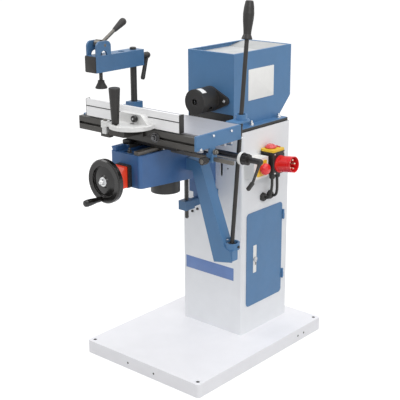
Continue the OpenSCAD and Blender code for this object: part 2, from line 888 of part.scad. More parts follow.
// Cast sector with a raised web that carries the fence
module gauge_body() {
  web_y = fence_y - gauge_web_t;
  color(cast_alloy) difference() {
    union() {
      translate([0, 0, gauge_low]) linear_extrude(gauge_t) intersection() {
        translate([swing_x, swing_y]) circle(sector_r, $fn = 96);
        translate([swing_x - 100, swing_y - 100]) square([200, fence_y - swing_y + 100]);
      }
      rod_z(gauge_low - 5, gauge_top + 4, gauge_x - 45, gauge_y, 14);
      block([gauge_x - 45, gauge_y - 9, gauge_low], [gauge_x - 12, gauge_y + 9, gauge_top]);
      along_y(web_y, fence_y) polygon([
        [swing_x - 60, gauge_low], [swing_x - 60, gauge_top + gauge_web_h],
        [swing_x + 30, gauge_top + gauge_web_h],
        [swing_x + 60, gauge_top], [swing_x + 60, gauge_low]
      ]);
    }
    rod_z(gauge_low - 20, gauge_top + eps, swing_x, swing_y, pivot_r + run_gap);
    translate([0, 0, gauge_low - eps]) linear_extrude(gauge_t + 2 * eps) arc_slot();
    rod_y(web_y - eps, fence_y + eps, fence_bolt_x, fence_bolt_z, fence_stud_r + run_gap);
  }
}

fence_bolt_x = swing_x + 10;
fence_bolt_z = gauge_top + 17;
fence_stud_r = 3;
fence_bolt_in = 9;

module fence_knob() {
  web_y = fence_y - gauge_web_t;
  color(black_paint) {
    rod_y(web_y - 4, fence_y + fence_bolt_in - air, fence_bolt_x, fence_bolt_z, fence_stud_r);
    translate([fence_bolt_x, web_y - 0.1, fence_bolt_z]) rotate([90, 0, 0]) rotate_extrude($fn = 48)
      polygon([[0, 0], [8, 0], [10.5, 4], [10.5, 13], [7, 16], [0, 16]]);
  }
}

handle_l = 114;
handle_low_r = 11.5;
handle_top_r = 18;

module gauge_handle() {
  color(black_paint) translate([gauge_x, gauge_y, gauge_top]) rotate_extrude($fn = 64) polygon([
    [0, 6.4], [stud_r + air, 6.4], [stud_r + air, 0.1], [handle_low_r, 0.1],
    [handle_top_r, handle_l - 4], [handle_top_r - 1, handle_l - 1],
    [handle_top_r - 4, handle_l], [0, handle_l]
  ]);
}

module fence() {
  color(cast_alloy) difference() {
    block([fence_x, fence_y, table_z + 0.1], [fence_x + fence_w, fence_y + fence_t, table_z + fence_h]);
    block([fence_x - eps, fence_y - eps, groove_z - groove_h / 2],
          [fence_x + fence_w + eps, fence_y + groove_in, groove_z + groove_h / 2]);
    block([fence_x - eps, fence_y + fence_t / 2, table_z + fence_h - 3],
          [fence_x + fence_w + eps, fence_y + fence_t + eps, table_z + fence_h + eps]);
    rod_y(fence_y - eps, fence_y + fence_bolt_in, fence_bolt_x, fence_bolt_z, fence_stud_r + run_gap);
  }
}

// Eccentric clamp
post_x = -189;
post_y = table_back - 23;
clamp_foot_w = 38;
clamp_foot_d = 44;
clamp_foot_h = 22;
arm_z = table_z + arm_rise;
arm_top = arm_z + arm_h;
arm_back = post_y + 27;
arm_front = arm_back - arm_l;

module clamp_foot() {
  color(machine_blue) difference() {
    block([post_x - clamp_foot_w / 2, post_y - clamp_foot_d / 2, table_z],
          [post_x + clamp_foot_w / 2, post_y + clamp_foot_d / 2, table_z + clamp_foot_h]);
    rod_z(table_z + 3, table_z + clamp_foot_h + eps, post_x, post_y, post_r + run_gap);
  }
}

module clamp_post() {
  color(black_paint) {
    rod_z(table_z + 3, arm_top + 6, post_x, post_y, post_r);
    translate([post_x, post_y, arm_top + 6]) cylinder(r1 = post_r, r2 = post_r - 2, h = 2);
  }
}

spare_bore_y = post_y - 55;
plunger_y = arm_front + 42;
plunger_r = 6;
arm_stud_z = arm_z + 27;
arm_stud_r = 5;

module clamp_arm() {
  color(machine_blue) difference() {
    block([post_x - arm_w / 2, arm_front, arm_z], [post_x + arm_w / 2, arm_back, arm_top]);
    rod_z(arm_z - eps, arm_top + eps, post_x, post_y, post_r + run_gap);
    rod_z(arm_top - 12, arm_top + eps, post_x, spare_bore_y, post_r);
    rod_z(arm_z - eps, arm_top + eps, post_x, plunger_y, plunger_r + run_gap);
    rod_y(post_y + post_r + 2, arm_back + eps, post_x, arm_stud_z, arm_stud_r + run_gap);
  }
}

arm_hub_l = 35;

module arm_lock_lever() {
  hub_y = arm_back + arm_hub_l;
  color(black_paint) {
    rod_y(post_y + post_r + 3, hub_y, post_x, arm_stud_z, arm_stud_r);
    rod_y(arm_back + 0.1, hub_y - 6, post_x, arm_stud_z, 9);
    translate([post_x, hub_y - 7, arm_stud_z]) rotate([-90, 0, 0]) rotate_extrude($fn = 48)
      polygon([[0, 0], [9.5, 0], [11.5, 4], [11.5, 15], [9, 20], [5, 22], [0, 22]]);
    translate([post_x, hub_y + 4, arm_stud_z]) rotate([164, 0, 0]) rotate_extrude($fn = 48)
      polygon([[0, 0], [7.5, 0], [7, 22], [7.4, 60], [7.8, 78], [5.5, 84], [0, 84]]);
  }
}

yoke_l = 63;
yoke_h = 46;
yoke_t = 7;
yoke_y = arm_front + 4;
yoke_r = 18;
yoke_arch_r = 15;
cam_y = plunger_y;
cam_z = arm_top + 32;
cam_pin_r = 5;

module cam_yoke() {
  color(machine_blue) for (s = [0, 1]) translate([post_x, 0, 0]) mirror([s, 0, 0])
    along_x(arm_w / 2 - yoke_t, arm_w / 2) difference() {
      union() {
        translate([yoke_y, arm_top]) square([yoke_l, yoke_h - yoke_r]);
        translate([yoke_y + yoke_r, arm_top]) square([yoke_l - 2 * yoke_r, yoke_h]);
        for (y = [yoke_y + yoke_r, yoke_y + yoke_l - yoke_r])
          translate([y, arm_top + yoke_h - yoke_r]) circle(yoke_r);
      }
      translate([yoke_y + yoke_l / 2, arm_top]) circle(yoke_arch_r);
      translate([cam_y, cam_z]) circle(cam_pin_r + run_gap);
    }
}

cam_w = 22;
cam_r = 13;
cam_throw = 6;
cam_lean = 31;
cam_rod_r = 6;
cam_rod_l = 76;
cam_grip_l = 58;

// Points along the cam lever from its pin
module on_cam_lever() {
  translate([post_x, cam_y, cam_z]) rotate([cam_lean - 90, 0, 0]) children();
}

module cam_lever() {
  color(bright_steel) {
    rod_x(post_x - arm_w / 2, post_x + arm_w / 2, cam_y, cam_z, cam_pin_r);
    rod_x(post_x - cam_w / 2, post_x + cam_w / 2,
          cam_y - cam_throw * cos(45), cam_z + cam_throw * sin(45), cam_r);
    on_cam_lever() cylinder(r = cam_rod_r, h = cam_rod_l);
  }
}

module cam_grip() {
  color(black_paint) on_cam_lever() translate([0, 0, cam_rod_l]) rotate_extrude($fn = 48)
    polygon([[0, 0], [7, 0], [8, 4], [11.5, 36], [12.5, 48], [11, cam_grip_l - 4],
             [7, cam_grip_l], [0, cam_grip_l]]);
}

plunger_low = arm_z - 30;

module plunger() {
  color(black_paint)
    rod_z(plunger_low, cam_z + cam_throw * sin(45) - cam_r - air, post_x, plunger_y, plunger_r);
}

pad_h = 26;

module pressure_pad() {
  color(black_paint) translate([post_x, plunger_y, plunger_low - pad_h]) rotate_extrude($fn = 64) polygon([
    [0, 0], [pad_r - 1, 0], [pad_r, 2], [pad_r - 1, 5], [11, pad_h - 6], [11, pad_h], [0, pad_h]
  ]);
}

// Joystick lever that moves the table both ways
pivot = [knee_side + 171, knee_front + 244, knee_low - 213];
ring = [table_side - 39, table_back + 50, table_z + 14];
lean_y = atan2(ring[1] - pivot[1], ring[2] - pivot[2]);
lean_x = atan2(ring[0] - pivot[0], norm([ring[1] - pivot[1], ring[2] - pivot[2]]));
housing_r = 26;
housing_bore = 20;
housing_h = 22;
saddle_w = 36;
saddle_h = 33;
ring_r = 18;
ring_bore = 12.5;
ring_h = 14;
trunnion_r = 3;
hub_r = 8;
hub_h = 18;
channel_t = 4;
channel_y = pivot[1] - housing_r - channel_t + 1;
channel_flange = 42;
strut_top = knee_top - 45;

// Front outline of the folded strut that holds the joystick's pivot
module strut_outline() {
  polygon([
    [knee_side, strut_top], [knee_side + 59, strut_top - 6], [pivot[0] - 9, pivot[2] - 2],
    [pivot[0] + 17, pivot[2] - 14],
    [pivot[0] + 22, pivot[2] - 48], [pivot[0] - 53, pivot[2] - 62],
    [knee_side + 26, strut_top - 40], [knee_side, strut_top - 42]
  ]);
}

module strut_flange() {
  polygon([
    [knee_side + 59 - channel_t, strut_top - 6], [knee_side + 59, strut_top - 6],
    [pivot[0] - 9, pivot[2] - 2], [pivot[0] - 9 - channel_t, pivot[2] - 2]
  ]);
}

module lever_bracket() {
  color(machine_blue) difference() {
    union() {
      along_y(channel_y, channel_y + channel_t) strut_outline();
      along_y(channel_y + channel_t, channel_y + channel_flange) strut_flange();
      block([knee_side, channel_y, strut_top - 42], [knee_side + channel_t, channel_y + 70, strut_top]);
      rod_z(pivot[2] - housing_h / 2, pivot[2] + housing_h / 2, pivot[0], pivot[1], housing_r);
      block([pivot[0] + 24 - saddle_w, channel_y + channel_t / 2, pivot[2] - housing_h / 2 - saddle_h],
            [pivot[0] + 24, pivot[1], pivot[2] - housing_h / 2 + 1]);
    }
    rod_z(pivot[2] - housing_h, pivot[2] + housing_h, pivot[0], pivot[1], housing_bore);
    rod_x(pivot[0] - 40, pivot[0] + 40, pivot[1], pivot[2], trunnion_r + run_gap);
  }
}

// Places a child in the frame of the leaning lever
module at_pivot(tilt_x) {
  translate(pivot) rotate([-lean_y, 0, 0]) rotate([0, tilt_x, 0]) children();
}

module gimbal_ring() {
  color(bright_steel) at_pivot(0) {
    difference() {
      translate([0, 0, -ring_h / 2]) cylinder(r = ring_r, h = ring_h);
      translate([0, 0, -ring_h]) cylinder(r = ring_bore, h = 2 * ring_h);
      translate([0, -ring_r - eps, 0]) rotate([-90, 0, 0])
        cylinder(r = trunnion_r + run_gap, h = 2 * ring_r + 2 * eps);
    }
    for (s = [0, 1]) mirror([s, 0, 0]) translate([ring_r - 3, 0, 0]) rotate([0, 90, 0])
      cylinder(r = trunnion_r, h = housing_r - ring_r + 3);
  }
}

rod_l = 664;

module lever_rod() {
  color(black_paint) {
    at_pivot(lean_x) {
      translate([0, 0, -hub_h / 2]) cylinder(r = hub_r, h = hub_h);
      cylinder(r = rod_r, h = rod_l);
    }
    at_pivot(0) rotate([90, 0, 0]) translate([0, 0, -ring_r + 0.5])
      cylinder(r = trunnion_r, h = 2 * ring_r - 1);
  }
}

module lever_grip() {
  color(black_paint) at_pivot(lean_x) translate([0, 0, rod_l]) rotate_extrude($fn = 64) polygon([
    [0, 0], [17, 0], [17.5, 3], [12.5, 16], [13, 26], [grip_r - 1, grip_l * 0.5], [grip_r, grip_l * 0.66],
    [grip_r - 2, grip_l * 0.84], [grip_r - 5, grip_l - 3], [grip_r - 8, grip_l], [0, grip_l]
  ]);
}

guide_wall = 5;
guide_plate_t = 6;
guide_w = 46;
guide_h = 14;
hanger_w = 54;
hanger_low = table_low - 27;

module lever_guide() {
  low = table_z - 3;
  color(machine_blue) difference() {
    union() {
      block([ring[0] - guide_w / 2, table_back, low],
            [ring[0] + guide_w / 2, ring[1] + 6, low + guide_plate_t]);
      block([ring[0] - guide_w / 2, table_back, table_low + 6],
            [ring[0] + guide_w / 2, table_back + guide_plate_t, low]);
      block([ring[0] - hanger_w, table_back, hanger_low],
            [ring[0], table_back + guide_plate_t, table_low + 20]);
      rod_z(low, low + guide_plate_t, ring[0], ring[1] + 6, guide_w / 2);
      rod_z(ring[2] - guide_h / 2, ring[2] + guide_h / 2, ring[0], ring[1], guide_bore_r + guide_wall);
      rod_z(low, ring[2], ring[0], ring[1], guide_bore_r + guide_wall);
    }
    rod_z(low - eps, ring[2] + guide_h, ring[0], ring[1], guide_bore_r);
  }
}

// Depth lock on the knee's right side
lock_y = knee_front + 237;
lock_z = knee_top - 16;
lock_r = 13.5;
lock_end = knee_side + 214;
lock_disc_r = 20;
lock_disc_t = 8;
lock_stud_r = 6;
lock_hub_l = 20;
lock_hub_r = 18;
lock_lobes = 6;
lock_neck_r = 9.3;
lock_neck = 45;
lock_arm_l = 69;
lock_arm_turn = 32;
lock_end_l = 33;
lock_end_w = 12;
lock_end_t = 7;
lock_end_turn = 24;

module lock_tube() {
  color(black_paint) difference() {
    union() {
      rod_x(knee_side, lock_end, lock_y, lock_z, lock_r);
      rod_x(knee_side, knee_side + 8, lock_y, lock_z, lock_r + 4);
      rod_x(lock_end, lock_end + lock_disc_t, lock_y, lock_z, lock_disc_r);
    }
    rod_x(lock_end - 60, lock_end + lock_disc_t + eps, lock_y, lock_z, lock_stud_r + run_gap);
  }
}

module lock_lever() {
  hub = lock_end + lock_disc_t;
  neck = hub + lock_hub_l;
  elbow = neck + lock_neck;
  color(black_paint) {
    rod_x(lock_end - 50, hub + 4, lock_y, lock_z, lock_stud_r);
    along_x(hub + 0.1, neck) translate([lock_y, lock_z]) difference() {
      circle(lock_hub_r);
      for (i = [0 : lock_lobes - 1]) rotate(i * 360 / lock_lobes) translate([lock_hub_r + 3, 0]) circle(5.5);
    }
    rod_x(neck - 1, elbow, lock_y, lock_z, lock_neck_r);
    translate([elbow, lock_y, lock_z]) {
      sphere(lock_neck_r);
      rotate([180 - lock_arm_turn, 0, 0]) {
        rotate_extrude($fn = 48) polygon([[0, 0], [7.5, 0], [5, 18], [4.2, lock_arm_l], [0, lock_arm_l]]);
        translate([0, 0, lock_arm_l]) {
          sphere(4.6);
          rotate([-lock_end_turn, 0, 0]) rotate([90, 0, 0]) linear_extrude(lock_end_t, center = true)
            translate([0, lock_end_l / 2 - 2]) round_rect(lock_end_w, lock_end_l, 4);
        }
      }
    }
  }
}

// Switch, inlet, emergency stop and their cables
box_y0 = column_front + 100;
box_d = 65;
box_w = 59;
box_h = 79;
box_z1 = column_top - 79;
box_z0 = box_z1 - box_h;
box_x1 = column_side + box_w;
box_mid_y = box_y0 + box_d / 2;
bezel_h = 8;
bezel_d = 66;
bezel_w = 56;
button_r = 7;
button_h = 9;
button_gap = 0.2;
bezel_x = column_side + box_w / 2;

module switch_box() {
  color(black_paint) difference() {
    translate([bezel_x, box_mid_y, box_z0]) linear_extrude(box_h) round_rect(box_w, box_d, 5);
    for (y = button_ys) rod_z(box_z1 - 8, box_z1 + eps, flap_x, y, button_r + button_gap);
  }
}

flap_x = bezel_x - 7;
flap_y = box_mid_y - 2;
button_ys = [flap_y - 9, flap_y + 9];

module switch_bezel() {
  color(signal_yellow) difference() {
    translate([bezel_x, box_mid_y, box_z1]) linear_extrude(bezel_h) round_rect(bezel_w, bezel_d, 6);
    for (y = button_ys) rod_z(box_z1 - eps, box_z1 + bezel_h + eps, flap_x, y, button_r + button_gap);
    block([flap_x - flap_r - air, flap_hinge_y - 5, box_z1 + bezel_h - 5],
          [flap_x + flap_r + air, flap_hinge_y + 5, box_z1 + bezel_h + eps]);
  }
}

button_top = box_z1 + bezel_h + 1;

module start_button() {
  color("#3f8f4f") rod_z(button_top - button_h, button_top, flap_x, button_ys[1], button_r);
}

module stop_button() {
  color(signal_red) rod_z(button_top - button_h, button_top, flap_x, button_ys[0], button_r);
}

flap_r = 20;
flap_t = 3;
flap_h = 12;
flap_hinge_y = box_mid_y + bezel_d / 2 - 6;
flap_hinge_z = box_z1 + bezel_h;

// Domed flap over the buttons, hinged at its back
module stop_flap() {
  low = button_top + 0.5;
  color(signal_red) {
    translate([flap_x, flap_y, low]) rotate_extrude($fn = 64) polygon([
      [0, flap_h - flap_t], [flap_r * 0.55, flap_h - flap_t - 1], [flap_r - flap_t, 3], [flap_r - flap_t, 0],
      [flap_r, 0], [flap_r, 3], [flap_r * 0.6, flap_h - 1], [0, flap_h]
    ]);
    block([flap_x - 10, flap_y + flap_r - 4, low], [flap_x + 10, flap_hinge_y, low + 3]);
    rod_x(flap_x - flap_r + 2, flap_x + flap_r - 2, flap_hinge_y, flap_hinge_z, 3);
  }
}

inlet_r = 28;
inlet_l = 62;
inlet_wall = 3;
inlet_lift = 7;
inlet_z = box_z1 - 44;
pin_r = 3;

// Round five-pin inlet, tipped up a little
module power_inlet() {
  color(signal_red) difference() {
    union() {
      translate([box_x1, box_mid_y + 2, inlet_z]) rotate([0, 90 - inlet_lift, 0]) {
        difference() {
          cylinder(r = inlet_r, h = inlet_l);
          translate([0, 0, 22]) cylinder(r = inlet_r - inlet_wall, h = inlet_l);
        }
        for (i = [0 : 4]) rotate([0, 0, i * 72]) translate([inlet_r * 0.56, 0, 20])
          cylinder(r = pin_r, h = inlet_l - 28);
      }
      rod_x(box_x1, box_x1 + 6, box_mid_y + 2, inlet_z, inlet_r + 2);
    }
    block([box_x1 - 30, box_y0 - 20, box_z0 - 20], [box_x1, box_y0 + box_d + 20, box_z1 + 20]);
  }
}

estop_y0 = column_front + 10;
estop_d = 78;
estop_h = 72;
estop_w = 44;
estop_z0 = box_z0 - 3;
estop_t = 2;
estop_x1 = column_side + estop_w;
estop_y = estop_y0 + estop_d * 0.54;
estop_z = estop_z0 + estop_h / 2;
estop_stem_r = 11;
estop_travel = 4;

module estop_box() {
  color(pan_white) difference() {
    block([column_side, estop_y0, estop_z0], [estop_x1, estop_y0 + estop_d, estop_z0 + estop_h]);
    block([column_side - eps, estop_y0 + estop_t, estop_z0 + estop_t],
          [estop_x1 - estop_t, estop_y0 + estop_d - estop_t, estop_z0 + estop_h - estop_t]);
    rod_x(estop_x1 - 5, estop_x1 + eps, estop_y, estop_z, estop_stem_r + run_gap);
  }
}

module estop_button() {
  color(signal_red) translate([estop_x1, estop_y, estop_z]) rotate([0, 90, 0])
    rotate_extrude($fn = 64) polygon([
    [0, -18], [estop_stem_r, -18], [estop_stem_r, 8 + estop_travel], [20, 8 + estop_travel],
    [20, 16 + estop_travel],
    [16, 22 + estop_travel], [0, 25 + estop_travel]
  ]);
}

cable_r = 4.8;
gland_r = 10;
gland_l = 20;
column_gland_r = 14.5;
gland_door_gap = 45;
box_gland_ys = [box_y0 + 18, box_y0 + 47];
column_gland_y = [column_front + 116, column_front + 155];
column_gland_z = door_z1 + gland_door_gap;
gland_x = column_side + 40;
column_gland_l = 14;

// A gland with a hexagon foot and a domed nut, along Z
module gland(r, length) {
  cylinder(r = r + 2, h = 6, $fn = 6);
  translate([0, 0, 5]) rotate_extrude($fn = 32) polygon([
    [0, 0], [r, 0], [r, length - 10], [r - 4, length - 5], [0, length - 5]
  ]);
}

module cable_glands() {
  color(black_paint) {
    for (y = box_gland_ys) translate([gland_x, y, box_z0]) rotate([180, 0, 0]) gland(gland_r, gland_l);
    for (y = column_gland_y)
      translate([column_side, y, column_gland_z]) rotate([0, 90, 0]) gland(column_gland_r, column_gland_l);
  }
}

// Points of a cable from a box gland down and round into a column gland
cable_top = box_z0 - gland_l;
cable_fall = cable_top - column_gland_z;
cable_in = column_side + column_gland_l;
cable_sides = 12;
// Each row is a step in X from the box gland, a share of the way in Y and a share of the fall
cable_steps = [
  [0, 0, 0], [0, 0, 0.11], [0, 0.1, 0.28], [-1, 0.3, 0.47], [-3, 0.55, 0.667],
  [-7, 0.78, 0.861], [-14, 0.93, 0.965], [-20, 1, 1], [cable_in - gland_x, 1, 1]
];
function cable_route(y0, y1) = [
  for (c = cable_steps) [gland_x + c[0], y0 + (y1 - y0) * c[1], cable_top - cable_fall * c[2]]
];

// Direction of a route at one of its points
function heading(p, i) = let (d = p[min(i + 1, len(p) - 1)] - p[max(i - 1, 0)]) d / norm(d);

// A round tube swept along a route, closed at both ends
module swept_tube(p, r, sides) {
  n = len(p);
  points = [for (i = [0 : n - 1], k = [0 : sides - 1])
    let (d = heading(p, i), u = cross([0, 1, 0], d), a = u / norm(u), b = cross(d, a), t = k * 360 / sides)
      p[i] + r * (a * cos(t) + b * sin(t))];
  walls = [for (i = [0 : n - 2], k = [0 : sides - 1], h = [0, 1])
    let (a = i * sides + k, b = i * sides + (k + 1) % sides)
      h == 0 ? [a, b, b + sides] : [a, b + sides, a + sides]];
  ends = concat([for (k = [1 : sides - 2]) [0, k + 1, k]],
                [for (k = [1 : sides - 2]) [(n - 1) * sides, (n - 1) * sides + k, (n - 1) * sides + k + 1]]);
  polyhedron(points, concat(walls, ends));
}

module power_cables() {
  color(black_paint) for (i = [0, 1])
    swept_tube(cable_route(box_gland_ys[i], column_gland_y[i]), cable_r, cable_sides);
}

base_pan();
column_shell();
motor_bracket();
door_hinges();
door_panel();
door_latch();
hood_shell();
hood_tray();
motor_body();
spindle_shaft();
chuck_body();
chuck_jaws();
spindle_guard();
slide_way();
nut_bracket();
knee_casting();
underside_cap();
position_indicator();
depth_rails();
lever_bracket();
lock_tube();
lock_lever();
lead_screw();
wheel_shaft();
handwheel();
crank_handle();
cross_slide();
stop_bar();
table_top();
end_plates();
front_rail();
clamp_foot();
lever_guide();
length_lock_knob();
gauge_clamp();
gauge_body();
gauge_handle();
fence();
fence_knob();
clamp_post();
clamp_arm();
cam_yoke();
arm_lock_lever();
cam_lever();
cam_grip();
plunger();
pressure_pad();
gimbal_ring();
lever_rod();
lever_grip();
switch_box();
switch_bezel();
stop_flap();
start_button();
stop_button();
power_inlet();
estop_box();
estop_button();
cable_glands();
power_cables();
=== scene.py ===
import math

import bmesh
import bpy
from mathutils import Matrix, Vector


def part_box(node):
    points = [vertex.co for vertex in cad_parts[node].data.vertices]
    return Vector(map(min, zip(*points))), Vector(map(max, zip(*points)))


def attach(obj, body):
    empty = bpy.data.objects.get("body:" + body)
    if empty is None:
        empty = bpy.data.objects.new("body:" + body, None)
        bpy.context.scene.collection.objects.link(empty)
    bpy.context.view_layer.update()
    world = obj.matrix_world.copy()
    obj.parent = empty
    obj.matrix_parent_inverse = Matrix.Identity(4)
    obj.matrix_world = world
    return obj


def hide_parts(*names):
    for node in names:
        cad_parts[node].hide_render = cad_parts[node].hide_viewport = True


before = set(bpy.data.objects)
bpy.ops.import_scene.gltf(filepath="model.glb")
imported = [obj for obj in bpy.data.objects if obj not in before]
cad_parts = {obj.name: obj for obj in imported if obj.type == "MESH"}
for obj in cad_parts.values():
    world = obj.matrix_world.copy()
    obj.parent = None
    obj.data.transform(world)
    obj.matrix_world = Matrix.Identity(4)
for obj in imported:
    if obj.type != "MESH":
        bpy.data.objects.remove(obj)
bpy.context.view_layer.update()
scene = bpy.context.scene
scene.view_settings.view_transform = "Standard"
mm = 0.001

# camera solved from the base pan and the column
cameraView = {
    "place": (2.0571, -2.4018, 1.5309),
    "azimuth": 41.0,
    "elevation": 17.4,
    "roll": -0.3,
    "lens": 84.84,
    "sensor": 36.0,
    "farthest": 50,
}


def makeCamera(view):
    around, up, tip = (math.radians(view[k]) for k in ("azimuth", "elevation", "roll"))
    back = Vector((math.sin(around) * math.cos(up), -math.cos(around) * math.cos(up), math.sin(up)))
    right = Vector((0, 0, 1)).cross(back).normalized()
    top = back.cross(right)
    rolledRight = right * math.cos(tip) + top * math.sin(tip)
    rolledTop = top * math.cos(tip) - right * math.sin(tip)
    turn = Matrix((rolledRight, rolledTop, back)).transposed().to_4x4()
    data = bpy.data.cameras.new("productCamera")
    data.lens = view["lens"]
    data.sensor_width = view["sensor"]
    data.sensor_fit = "HORIZONTAL"
    data.clip_end = view["farthest"]
    camera = bpy.data.objects.new("productCamera", data)
    camera.matrix_world = Matrix.Translation(view["place"]) @ turn
    scene.collection.objects.link(camera)
    scene.camera = camera


makeCamera(cameraView)
print("camera set")


# finishes
def linear(code):
    parts = [int(code[i:i + 2], 16) / 255 for i in (1, 3, 5)]
    return [c / 12.92 if c <= 0.04045 else ((c + 0.055) / 1.055) ** 2.4 for c in parts]


def shaded(colour, share):
    return [min(c * share, 1.0) for c in colour] + [1.0]


class Nodes:
    def __init__(self, tree):
        self.tree = tree

    def add(self, kind, **sockets):
        node = self.tree.nodes.new("ShaderNode" + kind)
        for name, value in sockets.items():
            node.inputs[name].default_value = value
        return node

    def link(self, output, socket):
        self.tree.links.new(output, socket)


# how the noise of a finish is spread over its tone, its roughness and its edge colour, which is part wear and
# part painted highlight
finishMix = {"toneSpan": (0.28, 0.72), "roughSpan": (0.3, 0.7), "smoother": 0.05, "rougher": 0.07,
             "smoothest": 0.03, "wearAndHighlightSpan": (0.995, 0.8), "coatRough": 0.12, "bump": 0.6,
             "edge": 0.0009, "edgeSamples": 4, "noiseRough": 0.55, "cloudDetail": 5, "blotchScale": 3,
             "blotchDetail": 3, "grainDetail": 2}


def noiseOf(nodes, place, scale, detail):
    noise = nodes.add("TexNoise", Scale=scale, Detail=detail, Roughness=finishMix["noiseRough"])
    nodes.link(place, noise.inputs["Vector"])
    return noise.outputs["Fac"]


def between(nodes, value, low, high, span=(0.0, 1.0)):
    node = nodes.add("MapRange")
    node.inputs["From Min"].default_value, node.inputs["From Max"].default_value = span
    node.inputs["To Min"].default_value = low
    node.inputs["To Max"].default_value = high
    nodes.link(value, node.inputs["Value"])
    return node.outputs["Result"]


# cloud and grain are noise scales per metre, depth is the grain's height, and the edge colour (wear and a
# painted highlight) shows along edges
def makeFinish(name, colour, rough, metal=0.0, tone=0.06, cloud=14.0, grain=900.0, depth=0.00002,
               stretch=(1, 1, 1), coat=0.0, edgeWearAndHighlight=None, edgeWearAndHighlightShare=0.5):
    material = bpy.data.materials.new(name)
    material.use_nodes = True
    nodes = Nodes(material.node_tree)
    shader = material.node_tree.nodes["Principled BSDF"]
    shader.inputs["Metallic"].default_value = metal
    shader.inputs["Coat Weight"].default_value = coat
    shader.inputs["Coat Roughness"].default_value = finishMix["coatRough"]
    base = linear(colour)
    where = nodes.add("TexCoord").outputs["Object"]
    pulled = nodes.add("Mapping", Scale=stretch)
    nodes.link(where, pulled.inputs["Vector"])
    place = pulled.outputs["Vector"]
    ramp = nodes.add("ValToRGB")
    shades = (shaded(base, 1 - tone), shaded(base, 1 + tone))
    for stop, position, shade in zip(ramp.color_ramp.elements, finishMix["toneSpan"], shades):
        stop.position = position
        stop.color = shade
    nodes.link(noiseOf(nodes, place, cloud, finishMix["cloudDetail"]), ramp.inputs["Fac"])
    softEdge = nodes.add("Bevel", Radius=finishMix["edge"])
    softEdge.samples = finishMix["edgeSamples"]
    surface = ramp.outputs["Color"]
    # edges get a lighter colour: partly wear, partly a painted highlight where rounded edges catch the light
    if edgeWearAndHighlight:
        flatness = nodes.add("VectorMath")
        flatness.operation = "DOT_PRODUCT"
        nodes.link(softEdge.outputs["Normal"], flatness.inputs[0])
        nodes.link(nodes.add("NewGeometry").outputs["Normal"], flatness.inputs[1])
        wearAndHighlightMask = between(nodes, flatness.outputs["Value"], 0.0, edgeWearAndHighlightShare, finishMix["wearAndHighlightSpan"])
        mix = nodes.add("Mix")
        mix.data_type = "RGBA"
        nodes.link(wearAndHighlightMask, mix.inputs[0])
        nodes.link(surface, mix.inputs[6])
        mix.inputs[7].default_value = linear(edgeWearAndHighlight) + [1.0]
        surface = mix.outputs[2]
    nodes.link(surface, shader.inputs["Base Color"])
    blotch = noiseOf(nodes, place, cloud * finishMix["blotchScale"], finishMix["blotchDetail"])
    smooth = max(rough - finishMix["smoother"], finishMix["smoothest"])
    sheen = between(nodes, blotch, smooth, rough + finishMix["rougher"], finishMix["roughSpan"])
    nodes.link(sheen, shader.inputs["Roughness"])
    bump = nodes.add("Bump", Strength=finishMix["bump"], Distance=depth)
    nodes.link(noiseOf(nodes, place, grain, finishMix["grainDetail"]), bump.inputs["Height"])
    nodes.link(softEdge.outputs["Normal"], bump.inputs["Normal"])
    nodes.link(bump.outputs["Normal"], shader.inputs["Normal"])
    return material


